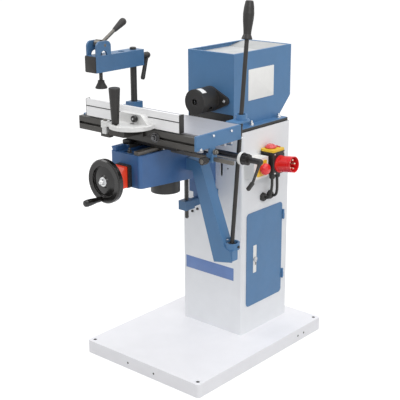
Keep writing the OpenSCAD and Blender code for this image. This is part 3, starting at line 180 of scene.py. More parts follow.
finishLooks = {
    "panWhite": dict(colour="#f5f5f9", rough=0.42, tone=0.02, grain=700, depth=0.00003, edgeWearAndHighlight="#ffffff",
                     edgeWearAndHighlightShare=0.3),
    "columnGrey": dict(colour="#eceef1", rough=0.45, tone=0.025, grain=700, depth=0.00003, edgeWearAndHighlight="#f4f5f6",
                       edgeWearAndHighlightShare=0.4),
    "machineBlue": dict(colour="#4e7ba7", rough=0.38, tone=0.05, grain=800, depth=0.00003, edgeWearAndHighlight="#86a6c9",
                        edgeWearAndHighlightShare=0.55),
    "castBlue": dict(colour="#3e689d", rough=0.36, tone=0.08, cloud=22, grain=420, depth=0.00007,
                     edgeWearAndHighlight="#7e9fc4", edgeWearAndHighlightShare=0.5),
    # darker blue: the clamp arm's own paint, and painted shade on the nut bracket
    "armAndShadeBlue": dict(colour="#466d94", rough=0.38, tone=0.05, grain=800, depth=0.00003, edgeWearAndHighlight="#86a6c9",
                    edgeWearAndHighlightShare=0.55),
    "trayGrey": dict(colour="#bdbfc0", rough=0.5, tone=0.06, cloud=30, grain=500, depth=0.00004),
    # tray grey made darker as painted shade for the sloping sheet
    "slopeShadeGrey": dict(colour="#adafaf", rough=0.5, tone=0.06, cloud=30, grain=500, depth=0.00004),
    "satinBlack": dict(colour="#262523", rough=0.42, tone=0.12, grain=800, depth=0.00003, edgeWearAndHighlight="#6b6a67",
                       edgeWearAndHighlightShare=0.4),
    "polishedBlack": dict(colour="#5b5b5d", rough=0.17, metal=0.92, tone=0.12, grain=300, depth=0.00001,
                          stretch=(1, 8, 8), coat=0.5, edgeWearAndHighlight="#8a8884", edgeWearAndHighlightShare=0.4),
    "castBlack": dict(colour="#2d2b29", rough=0.46, tone=0.12, grain=520, depth=0.00008, edgeWearAndHighlight="#8b8985",
                      edgeWearAndHighlightShare=0.5),
    "groundSteel": dict(colour="#bcbdc3", rough=0.34, metal=0.4, tone=0.05, cloud=9, grain=160,
                        depth=0.00001, stretch=(1, 14, 14), edgeWearAndHighlight="#f4f4f4", edgeWearAndHighlightShare=0.4),
    "turnedSteel": dict(colour="#c2c4c6", rough=0.25, metal=1.0, tone=0.06, grain=260, depth=0.00001,
                        edgeWearAndHighlight="#ffffff", edgeWearAndHighlightShare=0.3),
    "screwSteel": dict(colour="#6f6c67", rough=0.34, metal=0.7, tone=0.12, cloud=60, grain=600,
                       depth=0.00002, edgeWearAndHighlight="#b5b2ac", edgeWearAndHighlightShare=0.5),
    "blackSteel": dict(colour="#3b3835", rough=0.34, metal=0.3, tone=0.16, cloud=20, grain=220,
                       depth=0.00001, stretch=(1, 9, 9), edgeWearAndHighlight="#98958f", edgeWearAndHighlightShare=0.5),
    "barSteel": dict(colour="#6e6a64", rough=0.38, metal=0.5, tone=0.1, cloud=30, grain=220,
                     depth=0.00001, stretch=(1, 9, 9), edgeWearAndHighlight="#a5a19a", edgeWearAndHighlightShare=0.5),
    "railBlack": dict(colour="#484643", rough=0.36, metal=0.25, tone=0.12, cloud=20, grain=220,
                      depth=0.00001, stretch=(1, 9, 9), edgeWearAndHighlight="#98958f", edgeWearAndHighlightShare=0.5),
    "rodBlack": dict(colour="#2a2826", rough=0.36, metal=0.15, tone=0.14, cloud=20, grain=220,
                     depth=0.00001, stretch=(9, 9, 1), edgeWearAndHighlight="#7c7974", edgeWearAndHighlightShare=0.4),
    "fenceAlloy": dict(colour="#f0f0f1", rough=0.38, metal=0.25, tone=0.03, cloud=7, grain=150,
                       depth=0.00001, stretch=(1, 16, 16), edgeWearAndHighlight="#ffffff", edgeWearAndHighlightShare=0.4),
    "castAlloy": dict(colour="#dededd", rough=0.44, metal=0.25, tone=0.06, cloud=26, grain=480,
                      depth=0.00009, edgeWearAndHighlight="#ffffff", edgeWearAndHighlightShare=0.4),
    # the pale edge colour of the gloss black is mostly a painted highlight along rims and edges
    "glossBlack": dict(colour="#100f0e", rough=0.2, tone=0.1, grain=300, depth=0.00002, coat=0.1,
                       edgeWearAndHighlight="#a5a39f", edgeWearAndHighlightShare=0.5),
    "mattBlack": dict(colour="#232120", rough=0.46, tone=0.1, cloud=30, grain=1500, depth=0.00004,
                      edgeWearAndHighlight="#5a5855", edgeWearAndHighlightShare=0.3),
    # near black for marks that stand in for shade inside holes, slots and grooves
    "holeShadeBlack": dict(colour="#0f0e0e", rough=0.7, tone=0.1, cloud=90, grain=1500, depth=0.00002),
    "signalRed": dict(colour="#ea2226", rough=0.28, tone=0.05, grain=900, depth=0.00001, coat=0.2,
                      edgeWearAndHighlight="#f26a64", edgeWearAndHighlightShare=0.3),
    "counterRed": dict(colour="#f7431f", rough=0.34, tone=0.05, grain=900, depth=0.00001, edgeWearAndHighlight="#ff8a6c",
                       edgeWearAndHighlightShare=0.3),
    "flapRed": dict(colour="#dd4a4c", rough=0.22, tone=0.08, grain=700, depth=0.00001, coat=0.3,
                    edgeWearAndHighlight="#f6a19c", edgeWearAndHighlightShare=0.3),
    "signalYellow": dict(colour="#eec52a", rough=0.36, tone=0.05, grain=900, depth=0.00002,
                         edgeWearAndHighlight="#ffe680", edgeWearAndHighlightShare=0.3),
    "paleBox": dict(colour="#e9e9e6", rough=0.45, tone=0.03, grain=1100, depth=0.00003, edgeWearAndHighlight="#ffffff",
                    edgeWearAndHighlightShare=0.3),
    "startGreen": dict(colour="#3f8f4f", rough=0.3, tone=0.06, grain=900, depth=0.00001, edgeWearAndHighlight="#86c493",
                       edgeWearAndHighlightShare=0.3),
    "padRubber": dict(colour="#1f1e1d", rough=0.62, tone=0.15, cloud=60, grain=1600, depth=0.00005,
                      edgeWearAndHighlight="#4a4845", edgeWearAndHighlightShare=0.3),
    "cableRubber": dict(colour="#242321", rough=0.5, tone=0.12, cloud=60, grain=1800, depth=0.00004),
    "brightZinc": dict(colour="#d6d7d8", rough=0.24, metal=1.0, tone=0.08, cloud=120, grain=900,
                       depth=0.00001),
    "plateWhite": dict(colour="#f0f0ee", rough=0.4, tone=0.02, cloud=40, grain=1500, depth=0.00001),
    "bandBlue": dict(colour="#6a86bb", rough=0.42, tone=0.04, cloud=30, grain=1500, depth=0.00001),
    "pinBrass": dict(colour="#e6dcc2", rough=0.3, metal=0.7, tone=0.05, cloud=90, grain=900,
                     depth=0.00001),
}
finish = {name: makeFinish(name, **look) for name, look in finishLooks.items()}
nodeFinish = {
    "panWhite": ["base_pan"],
    "columnGrey": ["column_shell"],
    "trayGrey": ["hood_tray"],
    "machineBlue": ["door_panel", "door_hinges", "hood_shell", "end_plates", "lever_bracket", "lever_guide"],
    # the nut bracket takes the darker blue as painted shade
    "armAndShadeBlue": ["clamp_foot", "clamp_arm", "cam_yoke", "nut_bracket"],
    "castBlue": ["knee_casting", "slide_way"],
    "satinBlack": ["motor_bracket", "underside_cap", "clamp_post", "plunger"],
    "polishedBlack": ["lock_tube"],
    "castBlack": ["motor_body", "spindle_guard"],
    "groundSteel": ["table_top"],
    "turnedSteel": ["door_latch", "spindle_shaft", "chuck_body", "chuck_jaws", "wheel_shaft", "gimbal_ring"],
    "screwSteel": ["lead_screw", "cam_lever"],
    "blackSteel": ["cross_slide", "gauge_clamp"],
    "railBlack": ["front_rail"],
    "rodBlack": ["lever_rod"],
    "barSteel": ["stop_bar", "depth_rails"],
    "fenceAlloy": ["fence"],
    "castAlloy": ["gauge_body"],
    "glossBlack": ["handwheel", "crank_handle", "fence_knob"],
    "mattBlack": ["lock_lever", "length_lock_knob", "gauge_handle", "arm_lock_lever", "cam_grip",
                  "lever_grip", "switch_box", "cable_glands"],
    "counterRed": ["position_indicator"],
    "signalRed": ["power_inlet", "estop_button", "stop_button"],
    "flapRed": ["stop_flap"],
    "signalYellow": ["switch_bezel"],
    "startGreen": ["start_button"],
    "paleBox": ["estop_box"],
    "padRubber": ["pressure_pad"],
    "cableRubber": ["power_cables"],
}
for finishName, nodeNames in nodeFinish.items():
    for nodeName in nodeNames:
        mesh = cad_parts[nodeName].data
        mesh.materials.clear()
        mesh.materials.append(finish[finishName])
print("finishes on", sum(len(names) for names in nodeFinish.values()), "nodes")


# shapes for the added pieces, drawn in millimetres; crease and bevelFrom are angles in radians
shapeForm = {"thinnest": 0.02, "mergeWithin": 0.001, "crease": 0.6, "bevelFrom": 0.5, "bevelCuts": 2}
# shares of the sizes of a bolt, a cap screw and a plug whose black stands in as painted shade in a hole, and
# a few lengths in millimetres
headForm = {"wall": 0.86, "hexTop": 0.44, "capTop": 0.9, "socketFloor": 0.45, "washerWall": 0.8,
            "washerEaseMm": 0.5, "stubR": 0.3, "stubTop": 0.8, "stubTipMm": 1, "plugRim": 0.8,
            "plugFloor": 0.7, "plugDishMm": 0.6}


def facing(place, direction, turn=0.0):
    aim = Vector(direction).normalized().to_track_quat("Z", "Y").to_matrix().to_4x4()
    return Matrix.Translation(Vector(place)) @ aim @ Matrix.Rotation(math.radians(turn), 4, "Z")


def fullTurns(steps):
    return [2 * math.pi * i / steps for i in range(steps)]


def arcTurns(start, stop, steps):
    return [math.radians(start + (stop - start) * i / steps) for i in range(steps + 1)]


def ringPoints(radius, height, place, steps):
    return [place @ Vector((radius * math.cos(a), radius * math.sin(a), height)) for a in fullTurns(steps)]


def joinRows(shape, rows):
    for low, high in zip(rows, rows[1:]):
        for i in range(len(low)):
            k = (i + 1) % len(low)
            shape.faces.new((low[i], low[k], high[k], high[i]))


def addRings(shape, rings):
    rows = [[shape.verts.new(point) for point in ring] for ring in rings]
    joinRows(shape, rows)
    shape.faces.new(list(reversed(rows[0])))
    shape.faces.new(rows[-1])


# turned form: profile of radius and height, closed at both ends
def addTurned(shape, profile, place, steps=40):
    thinnest = shapeForm["thinnest"]
    addRings(shape, [ringPoints(max(radius, thinnest), height, place, steps) for radius, height in profile])


# turned form with an open middle: the profile runs round the wall and back to its start
def addHollow(shape, profile, place, steps=48):
    rings = [ringPoints(radius, height, place, steps) for radius, height in profile]
    rows = [[shape.verts.new(point) for point in ring] for ring in rings]
    joinRows(shape, rows + rows[:1])


def addPrism(shape, outline, low, high, place):
    addRings(shape, [[place @ Vector((x, y, h)) for x, y in outline] for h in (low, high)])


# band with an open middle: two outlines with the same count of points, and its thickness
def addBand(shape, inner, outer, thick, place):
    layers = ((inner, 0), (outer, 0), (outer, thick), (inner, thick))
    rows = [[shape.verts.new(place @ Vector((x, y, h))) for x, y in outline] for outline, h in layers]
    joinRows(shape, rows + rows[:1])


def hexOutline(acrossFlats):
    r = acrossFlats / math.sqrt(3)
    return [(r * math.cos(a), r * math.sin(a)) for a in fullTurns(6)]


def roundOutline(width, height, radius, steps=6):
    points = []
    across, up = width / 2 - radius, height / 2 - radius
    for cx, cy, start in ((1, 1, 0), (-1, 1, 90), (-1, -1, 180), (1, -1, 270)):
        for a in arcTurns(start, start + 90, steps):
            points.append((cx * across + radius * math.cos(a), cy * up + radius * math.sin(a)))
    return points


# rounded outline that fills two spans
def spanOutline(across, up, radius):
    return roundOutline(across[1] - across[0], up[1] - up[0], radius)


def addHexBolt(shape, place, flats, head, washer=0.0, washerTall=0.0, stub=0.0):
    lift = 0
    if washer:
        wall, ease = washerTall * headForm["washerWall"], headForm["washerEaseMm"]
        addTurned(shape, [(washer, 0), (washer, wall), (washer - ease, washerTall)], place, steps=28)
        lift = washerTall
    wall, top = lift + head * headForm["wall"], lift + head
    addPrism(shape, hexOutline(flats), lift, wall, place)
    addTurned(shape, [(flats / 2, wall), (flats * headForm["hexTop"], top)], place, steps=24)
    if stub:
        stubR, tip = flats * headForm["stubR"], top + stub
        profile = [(stubR, top), (stubR, tip - headForm["stubTipMm"]), (stubR * headForm["stubTop"], tip)]
        addTurned(shape, profile, place, steps=20)


# cap screw with a six-sided socket sunk in its head
def addCapScrew(shape, place, radius, head, socket, steps=24):
    wall = ((radius, 0), (radius, head * headForm["wall"]), (radius * headForm["capTop"], head))
    rings = [ringPoints(r, h, place, steps) for r, h in wall]
    for h in (head, head * headForm["socketFloor"]):
        ring = []
        for a in fullTurns(steps):
            reach = socket / math.cos((a % (math.pi / 3)) - math.pi / 6)
            ring.append(place @ Vector((reach * math.cos(a), reach * math.sin(a), h)))
        rings.append(ring)
    addRings(shape, rings)


# black plug sunk below the face round its hole, painted shade standing in for the dark inside of the hole
def addHoleShade(shape, place, radius, sunk, thick):
    rim, floor = radius * headForm["plugRim"], radius * headForm["plugFloor"]
    dish = -sunk - headForm["plugDishMm"]
    profile = [(radius, -sunk - thick), (radius, -sunk), (rim, -sunk), (floor, dish), (0, dish)]
    addTurned(shape, profile, place, steps=24)


def putPiece(name, shape, finishName, body, bevel=0.0):
    bmesh.ops.remove_doubles(shape, verts=shape.verts, dist=shapeForm["mergeWithin"])
    bmesh.ops.recalc_face_normals(shape, faces=shape.faces)
    if bevel:
        sharp = [e for e in shape.edges if e.calc_face_angle(0) > shapeForm["bevelFrom"]]
        bmesh.ops.bevel(shape, geom=sharp, offset=bevel, segments=shapeForm["bevelCuts"], profile=0.5,
                        affect="EDGES", clamp_overlap=True)
    for face in shape.faces:
        face.smooth = True
    for edge in shape.edges:
        edge.smooth = edge.calc_face_angle(0) < shapeForm["crease"]
    bmesh.ops.scale(shape, vec=(mm, mm, mm), verts=shape.verts)
    mesh = bpy.data.meshes.new(name)
    shape.to_mesh(mesh)
    shape.free()
    mesh.materials.append(finish[finishName])
    piece = bpy.data.objects.new(name, mesh)
    scene.collection.objects.link(piece)
    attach(piece, body)
    return piece


def boxOf(node):
    low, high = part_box(node)
    return low / mm, high / mm


def middle(low, high):
    return (low + high) / 2


# middle of the face towards the operator
def frontOf(low, high):
    return middle(low.x, high.x), low.y, middle(low.z, high.z)


toRight, toLeft, toFront, upward = (1, 0, 0), (-1, 0, 0), (0, -1, 0), (0, 0, 1)
fromSide = Matrix(((0, 0, 1, 0), (1, 0, 0, 0), (0, 1, 0, 0), (0, 0, 0, 1)))
fromFront = Matrix(((1, 0, 0, 0), (0, 0, -1, 0), (0, 1, 0, 0), (0, 0, 0, 1)))


# outline in Y and Z, with its thickness along X
def sideAt(place):
    return Matrix.Translation(place) @ fromSide


# outline in X and Z, with its thickness towards -Y
def frontAt(place):
    return Matrix.Translation(place) @ fromFront


# hood: bolts through its flanges, a bare plate on its right side and a sheet that slopes up behind the tray,
# painted darker than the tray as shade
hoodTrim = {"bolt": dict(flats=14, head=7, washer=9.5, washerTall=1.8, stub=6.5), "boltX": 117,
            "boltY": (101, 257), "boltTurn": 12, "flange": 3, "wall": 2,
            "plateY": (101, 244), "plateZ": (890, 997), "plateThick": 0.6, "plateCorner": 3,
            "plateBevel": 0.15, "slopeFrom": 100, "slopeTo": 36, "slopeBelowRim": 1.5, "slopeGap": 0.1}
hoodLow, hoodHigh = boxOf("hood_shell")
trayLow, trayHigh = boxOf("hood_tray")
shape = bmesh.new()
flangeTop = hoodLow.z + hoodTrim["flange"]
for x in (-hoodTrim["boltX"], hoodTrim["boltX"]):
    for y in hoodTrim["boltY"]:
        addHexBolt(shape, facing((x, y, flangeTop), upward, hoodTrim["boltTurn"]), **hoodTrim["bolt"])
putPiece("hoodBolts", shape, "brightZinc", "frame")
shape = bmesh.new()
plateY, plateZ = hoodTrim["plateY"], hoodTrim["plateZ"]
plateAt = (trayHigh.x + hoodTrim["wall"], middle(*plateY), middle(*plateZ))
outline = spanOutline(plateY, plateZ, hoodTrim["plateCorner"])
addPrism(shape, outline, 0, hoodTrim["plateThick"], sideAt(plateAt))
putPiece("hoodPlate", shape, "plateWhite", "frame", hoodTrim["plateBevel"])
shape = bmesh.new()
slopeBack, slopeTop = trayHigh.y - hoodTrim["slopeGap"], hoodHigh.z - hoodTrim["slopeBelowRim"]
outline = [(trayHigh.y - hoodTrim["slopeFrom"], trayHigh.z), (slopeBack, trayHigh.z), (slopeBack, slopeTop),
           (trayHigh.y - hoodTrim["slopeTo"], slopeTop)]
addPrism(shape, outline, trayLow.x + hoodTrim["slopeGap"], trayHigh.x - hoodTrim["slopeGap"], fromSide)
# the slope's darker grey is painted shade
putPiece("traySlope", shape, "slopeShadeGrey", "frame")
print("hood trimmed")

# chuck guard: ear screws and a bare strip that follows its round top; an arc is from, to and steps
guardTrim = {"screw": dict(radius=5.5, head=5, socket=2.4), "screwX": 67, "ear": 8, "stripY": (-53, -32),
             "stripArc": (48, 88, 16), "stripThick": 0.4, "rimStands": 1}
guardLow, guardHigh = boxOf("spindle_guard")
spindleZ = middle(guardLow.z, guardHigh.z)
shape = bmesh.new()
for x in (-guardTrim["screwX"], guardTrim["screwX"]):
    screwPlace = facing((x, guardHigh.y - guardTrim["ear"], spindleZ), toFront)
    addCapScrew(shape, screwPlace, **guardTrim["screw"])
putPiece("guardScrews", shape, "brightZinc", "frame")
shape = bmesh.new()
stripIn = (guardHigh.z - guardLow.z) / 2 - guardTrim["rimStands"]
stripOut = stripIn + guardTrim["stripThick"]
turns = arcTurns(*guardTrim["stripArc"])
section = [(stripIn, a) for a in turns] + [(stripOut, a) for a in reversed(turns)]
addRings(shape, [[Vector((r * math.cos(a), y, spindleZ + r * math.sin(a))) for r, a in section]
                 for y in guardTrim["stripY"]])
putPiece("guardStrip", shape, "plateWhite", "frame")
print("guard trimmed")

# base pan: black plugs sunk in the floor-bolt holes and in the holes of its skirt, as painted shade inside
# the holes
panTrim = {"boltHoleShade": dict(radius=6.2, sunk=1.2, thick=3), "boltIn": 19,
           "skirtHoleShade": dict(radius=3.8, sunk=0.7, thick=2), "frontX": (-61, 61), "sideY": (206, 242),
           "skirtZ": 22}
panLow, panHigh = boxOf("base_pan")
shape = bmesh.new()
for x in (panLow.x + panTrim["boltIn"], panHigh.x - panTrim["boltIn"]):
    for y in (panLow.y + panTrim["boltIn"], panHigh.y - panTrim["boltIn"]):
        addHoleShade(shape, facing((x, y, panHigh.z), upward), **panTrim["boltHoleShade"])
skirtPlaces = [facing((x, panLow.y, panTrim["skirtZ"]), toFront) for x in panTrim["frontX"]]
skirtPlaces += [facing((panHigh.x, y, panTrim["skirtZ"]), toRight) for y in panTrim["sideY"]]
for holeShadePlace in skirtPlaces:
    addHoleShade(shape, holeShadePlace, **panTrim["skirtHoleShade"])
putPiece("panHoleShade", shape, "holeShadeBlack", "frame")
print("base pan trimmed")

# column: bare band on the front, two black screws under the nut bracket, black plugs in the spare holes as
# painted shade inside them
columnTrim = {"bandX": (-123, 101), "bandZ": (251, 298), "bandThick": 0.5, "bandCorner": 1.5,
              "bandBevel": 0.12, "screw": dict(radius=4.5, head=5, socket=2.2),
              "screwsAt": ((-90, 474), (-66, 487)), "plug": dict(radius=2.8, sunk=0.6, thick=2),
              "plugX": (-73, 73), "plugZ": 661}
columnFront = boxOf("column_shell")[0].y
shape = bmesh.new()
bandX, bandZ = columnTrim["bandX"], columnTrim["bandZ"]
bandPlace = frontAt((middle(*bandX), columnFront, middle(*bandZ)))
outline = spanOutline(bandX, bandZ, columnTrim["bandCorner"])
addPrism(shape, outline, 0, columnTrim["bandThick"], bandPlace)
putPiece("columnBand", shape, "bandBlue", "frame", columnTrim["bandBevel"])
shape = bmesh.new()
for x, z in columnTrim["screwsAt"]:
    addCapScrew(shape, facing((x, columnFront, z), toFront), **columnTrim["screw"])
putPiece("columnScrews", shape, "satinBlack", "frame")
shape = bmesh.new()
for x in columnTrim["plugX"]:
    addHoleShade(shape, facing((x, columnFront, columnTrim["plugZ"]), toFront), **columnTrim["plug"])
putPiece("columnHoleShade", shape, "holeShadeBlack", "frame")
print("column trimmed")

# door: bare strip behind the latch, and a dark mark in the latch's face, painted shade in its slot
doorTrim = {"stripY": (92.5, 111.5), "stripZ": (271, 375), "stripThick": 0.1, "stripCorner": 2,
            "latchStands": 5, "slotSize": (2.2, 11), "slotCorner": 0.8, "slotDeep": 1, "slotThick": 0.3}
latchLow, latchHigh = boxOf("door_latch")
shape = bmesh.new()
stripY, stripZ = doorTrim["stripY"], doorTrim["stripZ"]
stripAt = (latchHigh.x - doorTrim["latchStands"], middle(*stripY), middle(*stripZ))
outline = spanOutline(stripY, stripZ, doorTrim["stripCorner"])
addPrism(shape, outline, 0, doorTrim["stripThick"], sideAt(stripAt))
putPiece("doorStrip", shape, "plateWhite", "door")
shape = bmesh.new()
# black mark standing proud of the latch face: painted shade in its slot
slotAt = (latchHigh.x, middle(latchLow.y, latchHigh.y), middle(latchLow.z, latchHigh.z))
outline = roundOutline(*doorTrim["slotSize"], doorTrim["slotCorner"])
addPrism(shape, outline, -doorTrim["slotDeep"], doorTrim["slotThick"], sideAt(slotAt))
putPiece("latchSlotShade", shape, "holeShadeBlack", "latch")
print("door trimmed")

# table: screws in the end plates, end cap on the front rail, bolt on the stop bar's web
tableTrim = {"screw": dict(radius=4, head=2.6, socket=1.8), "leftFrom": -330,
             "screwsAt": ((-276, 863), (-190, 863), (-335, 831), (-139, 832)),
             "capThick": 1.2, "capCorner": 0.8, "capBevel": 0.3,
             "webBolt": dict(flats=14, head=8, washer=8.5, washerTall=2, stub=4), "webAt": (-272, 812),
             "webTurn": 20}
endLow, endHigh = boxOf("end_plates")
shape = bmesh.new()
for y, z in tableTrim["screwsAt"]:
    addCapScrew(shape, facing((endHigh.x, y, z), toRight), **tableTrim["screw"])
    if y > tableTrim["leftFrom"]:
        addCapScrew(shape, facing((endLow.x, y, z), toLeft), **tableTrim["screw"])
putPiece("endScrews", shape, "brightZinc", "table")
railLow, railHigh = boxOf("front_rail")
railMid = middle(railLow.z, railHigh.z)
shape = bmesh.new()
capAt = (railLow.x - tableTrim["capThick"], middle(railLow.y, railHigh.y), railMid)
outline = roundOutline(railHigh.y - railLow.y, railHigh.z - railLow.z, tableTrim["capCorner"])
addPrism(shape, outline, 0, tableTrim["capThick"], sideAt(capAt))
putPiece("railCap", shape, "satinBlack", "table", tableTrim["capBevel"])
shape = bmesh.new()
webPlace = facing((endHigh.x, *tableTrim["webAt"]), toRight, tableTrim["webTurn"])
addHexBolt(shape, webPlace, **tableTrim["webBolt"])
putPiece("webBolt", shape, "screwSteel", "table")
print("table trimmed")

# slide bar in the front rail's slot: it starts in the gauge's clamp and ends under a bolt
barForm = {"bolt": dict(flats=22, head=8, washer=15.5, washerTall=2.5, stub=5), "boltX": 90, "boltTurn": 8,
           "boltSunk": 0.1, "barEnd": 106, "barTall": 7.2, "barCorner": 0.6, "into": 4, "proud": 0.3,
           "overlap": 0.5}
clampRight = boxOf("gauge_clamp")[1].x
shape = bmesh.new()
barLong = barForm["barEnd"] - clampRight + barForm["overlap"]
barAt = (barForm["barEnd"] - barLong / 2, railLow.y + barForm["into"], railMid)
outline = roundOutline(barLong, barForm["barTall"], barForm["barCorner"])
addPrism(shape, outline, 0, barForm["into"] + barForm["proud"], frontAt(barAt))
putPiece("slideBar", shape, "blackSteel", "gauge")
shape = bmesh.new()
boltAt = (barForm["boltX"], railLow.y - barForm["proud"] + barForm["boltSunk"], railMid)
addHexBolt(shape, facing(boltAt, toFront, barForm["boltTurn"]), **barForm["bolt"])
putPiece("railBolt", shape, "polishedBlack", "gauge")
print("slide bar set")

# cross slide: gib screws in the outer face of its right cheek
gibTrim = {"screw": dict(flats=8, head=4, stub=3), "faceX": 67.1, "screwY": (-288, -244, -200), "up": 4.5,
           "turn": 10}
crossLow = boxOf("cross_slide")[0]
shape = bmesh.new()
for y in gibTrim["screwY"]:
    gibPlace = facing((gibTrim["faceX"], y, crossLow.z + gibTrim["up"]), toRight, gibTrim["turn"])
    addHexBolt(shape, gibPlace, **gibTrim["screw"])
putPiece("gibScrews", shape, "brightZinc", "cross")
print("slides trimmed")

# knobs: bright face on the length lock, bright screw in the fence knob
knobTrim = {"knobFace": dict(node="length_lock_knob", body="length_knob", look="screwSteel", radius=7.5,
                             dome=1.5),
            "knobScrew": dict(node="fence_knob", body="fence_screw", look="brightZinc", radius=3.2, dome=1.2)}
knobDome = {"sunk": 1, "shares": ((1, 0.3), (0.7, 0.8), (0, 1))}
for name, trim in knobTrim.items():
    shape = bmesh.new()
    knobPlace = facing(frontOf(*boxOf(trim["node"])), toFront)
    profile = [(trim["radius"], -knobDome["sunk"])]
    profile += [(trim["radius"] * across, trim["dome"] * up) for across, up in knobDome["shares"]]
    addTurned(shape, profile, knobPlace)
    putPiece(name, shape, trim["look"], trim["body"])
print("knobs trimmed")

# fence: black caps on its ends and a dark strip deep in its groove as painted shade
fenceTrim = {"capThick": 4, "leftCap": 1.5, "capGrow": (0.6, 0.4), "capRise": 0.5, "capCorner": 1.2,
             "capBevel": 0.5, "grooveZ": 904, "grooveShadeTall": 3.3, "grooveShadeIn": (3.0, 4.9), "grooveShadeCorner": 0.4,
             "grooveShadeSteps": 3, "endGap": 0.2}
fenceLow, fenceHigh = boxOf("fence")
shape = bmesh.new()
capY, capZ = middle(fenceLow.y, fenceHigh.y), middle(fenceLow.z, fenceHigh.z) + fenceTrim["capRise"]
growY, growZ = fenceTrim["capGrow"]
capWide, capTall = fenceHigh.y - fenceLow.y + growY, fenceHigh.z - fenceLow.z + growZ
outline = roundOutline(capWide, capTall, fenceTrim["capCorner"])
addPrism(shape, outline, 0, fenceTrim["capThick"], sideAt((fenceHigh.x, capY, capZ)))
addPrism(shape, outline, -fenceTrim["leftCap"], 0, sideAt((fenceLow.x, capY, capZ)))
putPiece("fenceCap", shape, "mattBlack", "fence_unit", fenceTrim["capBevel"])
shape = bmesh.new()
# black strip deep in the groove: painted shade
grooveShadeNear, grooveShadeFar = (fenceLow.y + deepIn for deepIn in fenceTrim["grooveShadeIn"])
grooveShadePlace = sideAt((0, middle(grooveShadeNear, grooveShadeFar), fenceTrim["grooveZ"]))
outline = roundOutline(grooveShadeFar - grooveShadeNear, fenceTrim["grooveShadeTall"], fenceTrim["grooveShadeCorner"],
                       fenceTrim["grooveShadeSteps"])
addPrism(shape, outline, fenceLow.x + fenceTrim["endGap"], fenceHigh.x - fenceTrim["endGap"], grooveShadePlace)
putPiece("grooveShade", shape, "holeShadeBlack", "fence_unit")
print("fence trimmed")

# gauge: raised rim along the sector's edge, screw in its boss, and a jaw with a dark foot under the boss
gaugeTrim = {"centre": (20, -378), "top": 883, "rimIn": 64.6, "rimOut": 71.4, "rimTall": 3, "rimSlope": 0.8,
             "rimTopIn": 2, "rimSunk": 0.2, "rimArc": (192, 349, 60),
             "screw": dict(radius=6, head=5, socket=2.8), "boss": (-62, -414), "bossTop": 887,
             "jaw": (-60, -415), "jawSize": (20, 18), "jawZ": (847, 867), "corner": 5,
             "foot": (-56, -414), "footSize": (42, 19), "footZ": (837.5, 847.4), "footBevel": 1}


def addArcRim(shape, form):
    rimIn, rimOut, tall, slope = (form[k] for k in ("rimIn", "rimOut", "rimTall", "rimSlope"))
    section = ((rimIn, -form["rimSunk"]), (rimOut, -form["rimSunk"]), (rimOut, tall - slope),
               (rimOut - slope, tall), (rimIn + form["rimTopIn"], tall))
    centre = Vector((*form["centre"], form["top"]))
    rows = []
    for a in arcTurns(*form["rimArc"]):
        rows.append([centre + Vector((r * math.cos(a), r * math.sin(a), h)) for r, h in section])
    addRings(shape, rows)


def addBlock(shape, form, name):
    outline = roundOutline(*form[name + "Size"], form["corner"])
    addPrism(shape, outline, *form[name + "Z"], Matrix.Translation((*form[name], 0)))


shape = bmesh.new()
addArcRim(shape, gaugeTrim)
addBlock(shape, gaugeTrim, "jaw")
putPiece("gaugeRim", shape, "castAlloy", "fence_unit")
shape = bmesh.new()
addBlock(shape, gaugeTrim, "foot")
putPiece("jawFoot", shape, "blackSteel", "fence_unit", gaugeTrim["footBevel"])
shape = bmesh.new()
addCapScrew(shape, facing((*gaugeTrim["boss"], gaugeTrim["bossTop"]), upward), **gaugeTrim["screw"])
putPiece("bossScrew", shape, "screwSteel", "fence_unit")
print("gauge trimmed")

# clamp arm: black cap in the front end of the tube
armTrim = {"capThick": 3.5, "inset": 1, "corner": 4, "bevel": 0.8}
armLow, armHigh = boxOf("clamp_arm")
shape = bmesh.new()
capWide, capTall = armHigh.x - armLow.x - armTrim["inset"], armHigh.z - armLow.z - armTrim["inset"]
outline = roundOutline(capWide, capTall, armTrim["corner"])
addPrism(shape, outline, 0, armTrim["capThick"], frontAt(frontOf(armLow, armHigh)))
putPiece("armCap", shape, "mattBlack", "arm", armTrim["bevel"])
print("arm capped")

# knee: stop stud in its top, and a black frame with a ribbed side round the position indicator
kneeTrim = {"stud": dict(flats=13, head=8, washer=8.5, washerTall=2, stub=7), "studAt": (-12, -360),
            "studDown": 7, "studTurn": 20, "frameGrow": (1.0, 0.4), "frameDepth": 15, "frameWall": 6,
            "frameCorner": 5.5, "holeCorner": 1.5, "frameGap": 0.02, "ribs": 6, "ribHeight": 6, "ribOut": 1.6,
            "ribLap": 0.4, "ribCorner": 0.7, "ribIn": 2, "ribShare": 0.8}
indicatorLow, indicatorHigh = boxOf("position_indicator")
kneeTop = boxOf("depth_rails")[0].z
shape = bmesh.new()
studPlace = facing((*kneeTrim["studAt"], kneeTop - kneeTrim["studDown"]), upward, kneeTrim["studTurn"])
addHexBolt(shape, studPlace, **kneeTrim["stud"])
putPiece("depthStud", shape, "screwSteel", "knee")
shape = bmesh.new()
wallThick, deep = kneeTrim["frameWall"], kneeTrim["frameDepth"]
growX, growZ = kneeTrim["frameGrow"]
frameWide = indicatorHigh.x - indicatorLow.x + 2 * growX
frameTall = indicatorHigh.z - indicatorLow.z + 2 * growZ
outer = roundOutline(frameWide, frameTall, kneeTrim["frameCorner"])
inner = roundOutline(frameWide - 2 * wallThick, frameTall - 2 * wallThick, kneeTrim["holeCorner"])
frameY = indicatorHigh.y - kneeTrim["frameGap"]
framePlace = frontAt((0, frameY, middle(indicatorLow.z, indicatorHigh.z)))
addBand(shape, inner, outer, deep, framePlace)
ribGaps, ribIn, ribLap = kneeTrim["ribs"] - 1, kneeTrim["ribIn"], kneeTrim["ribLap"]
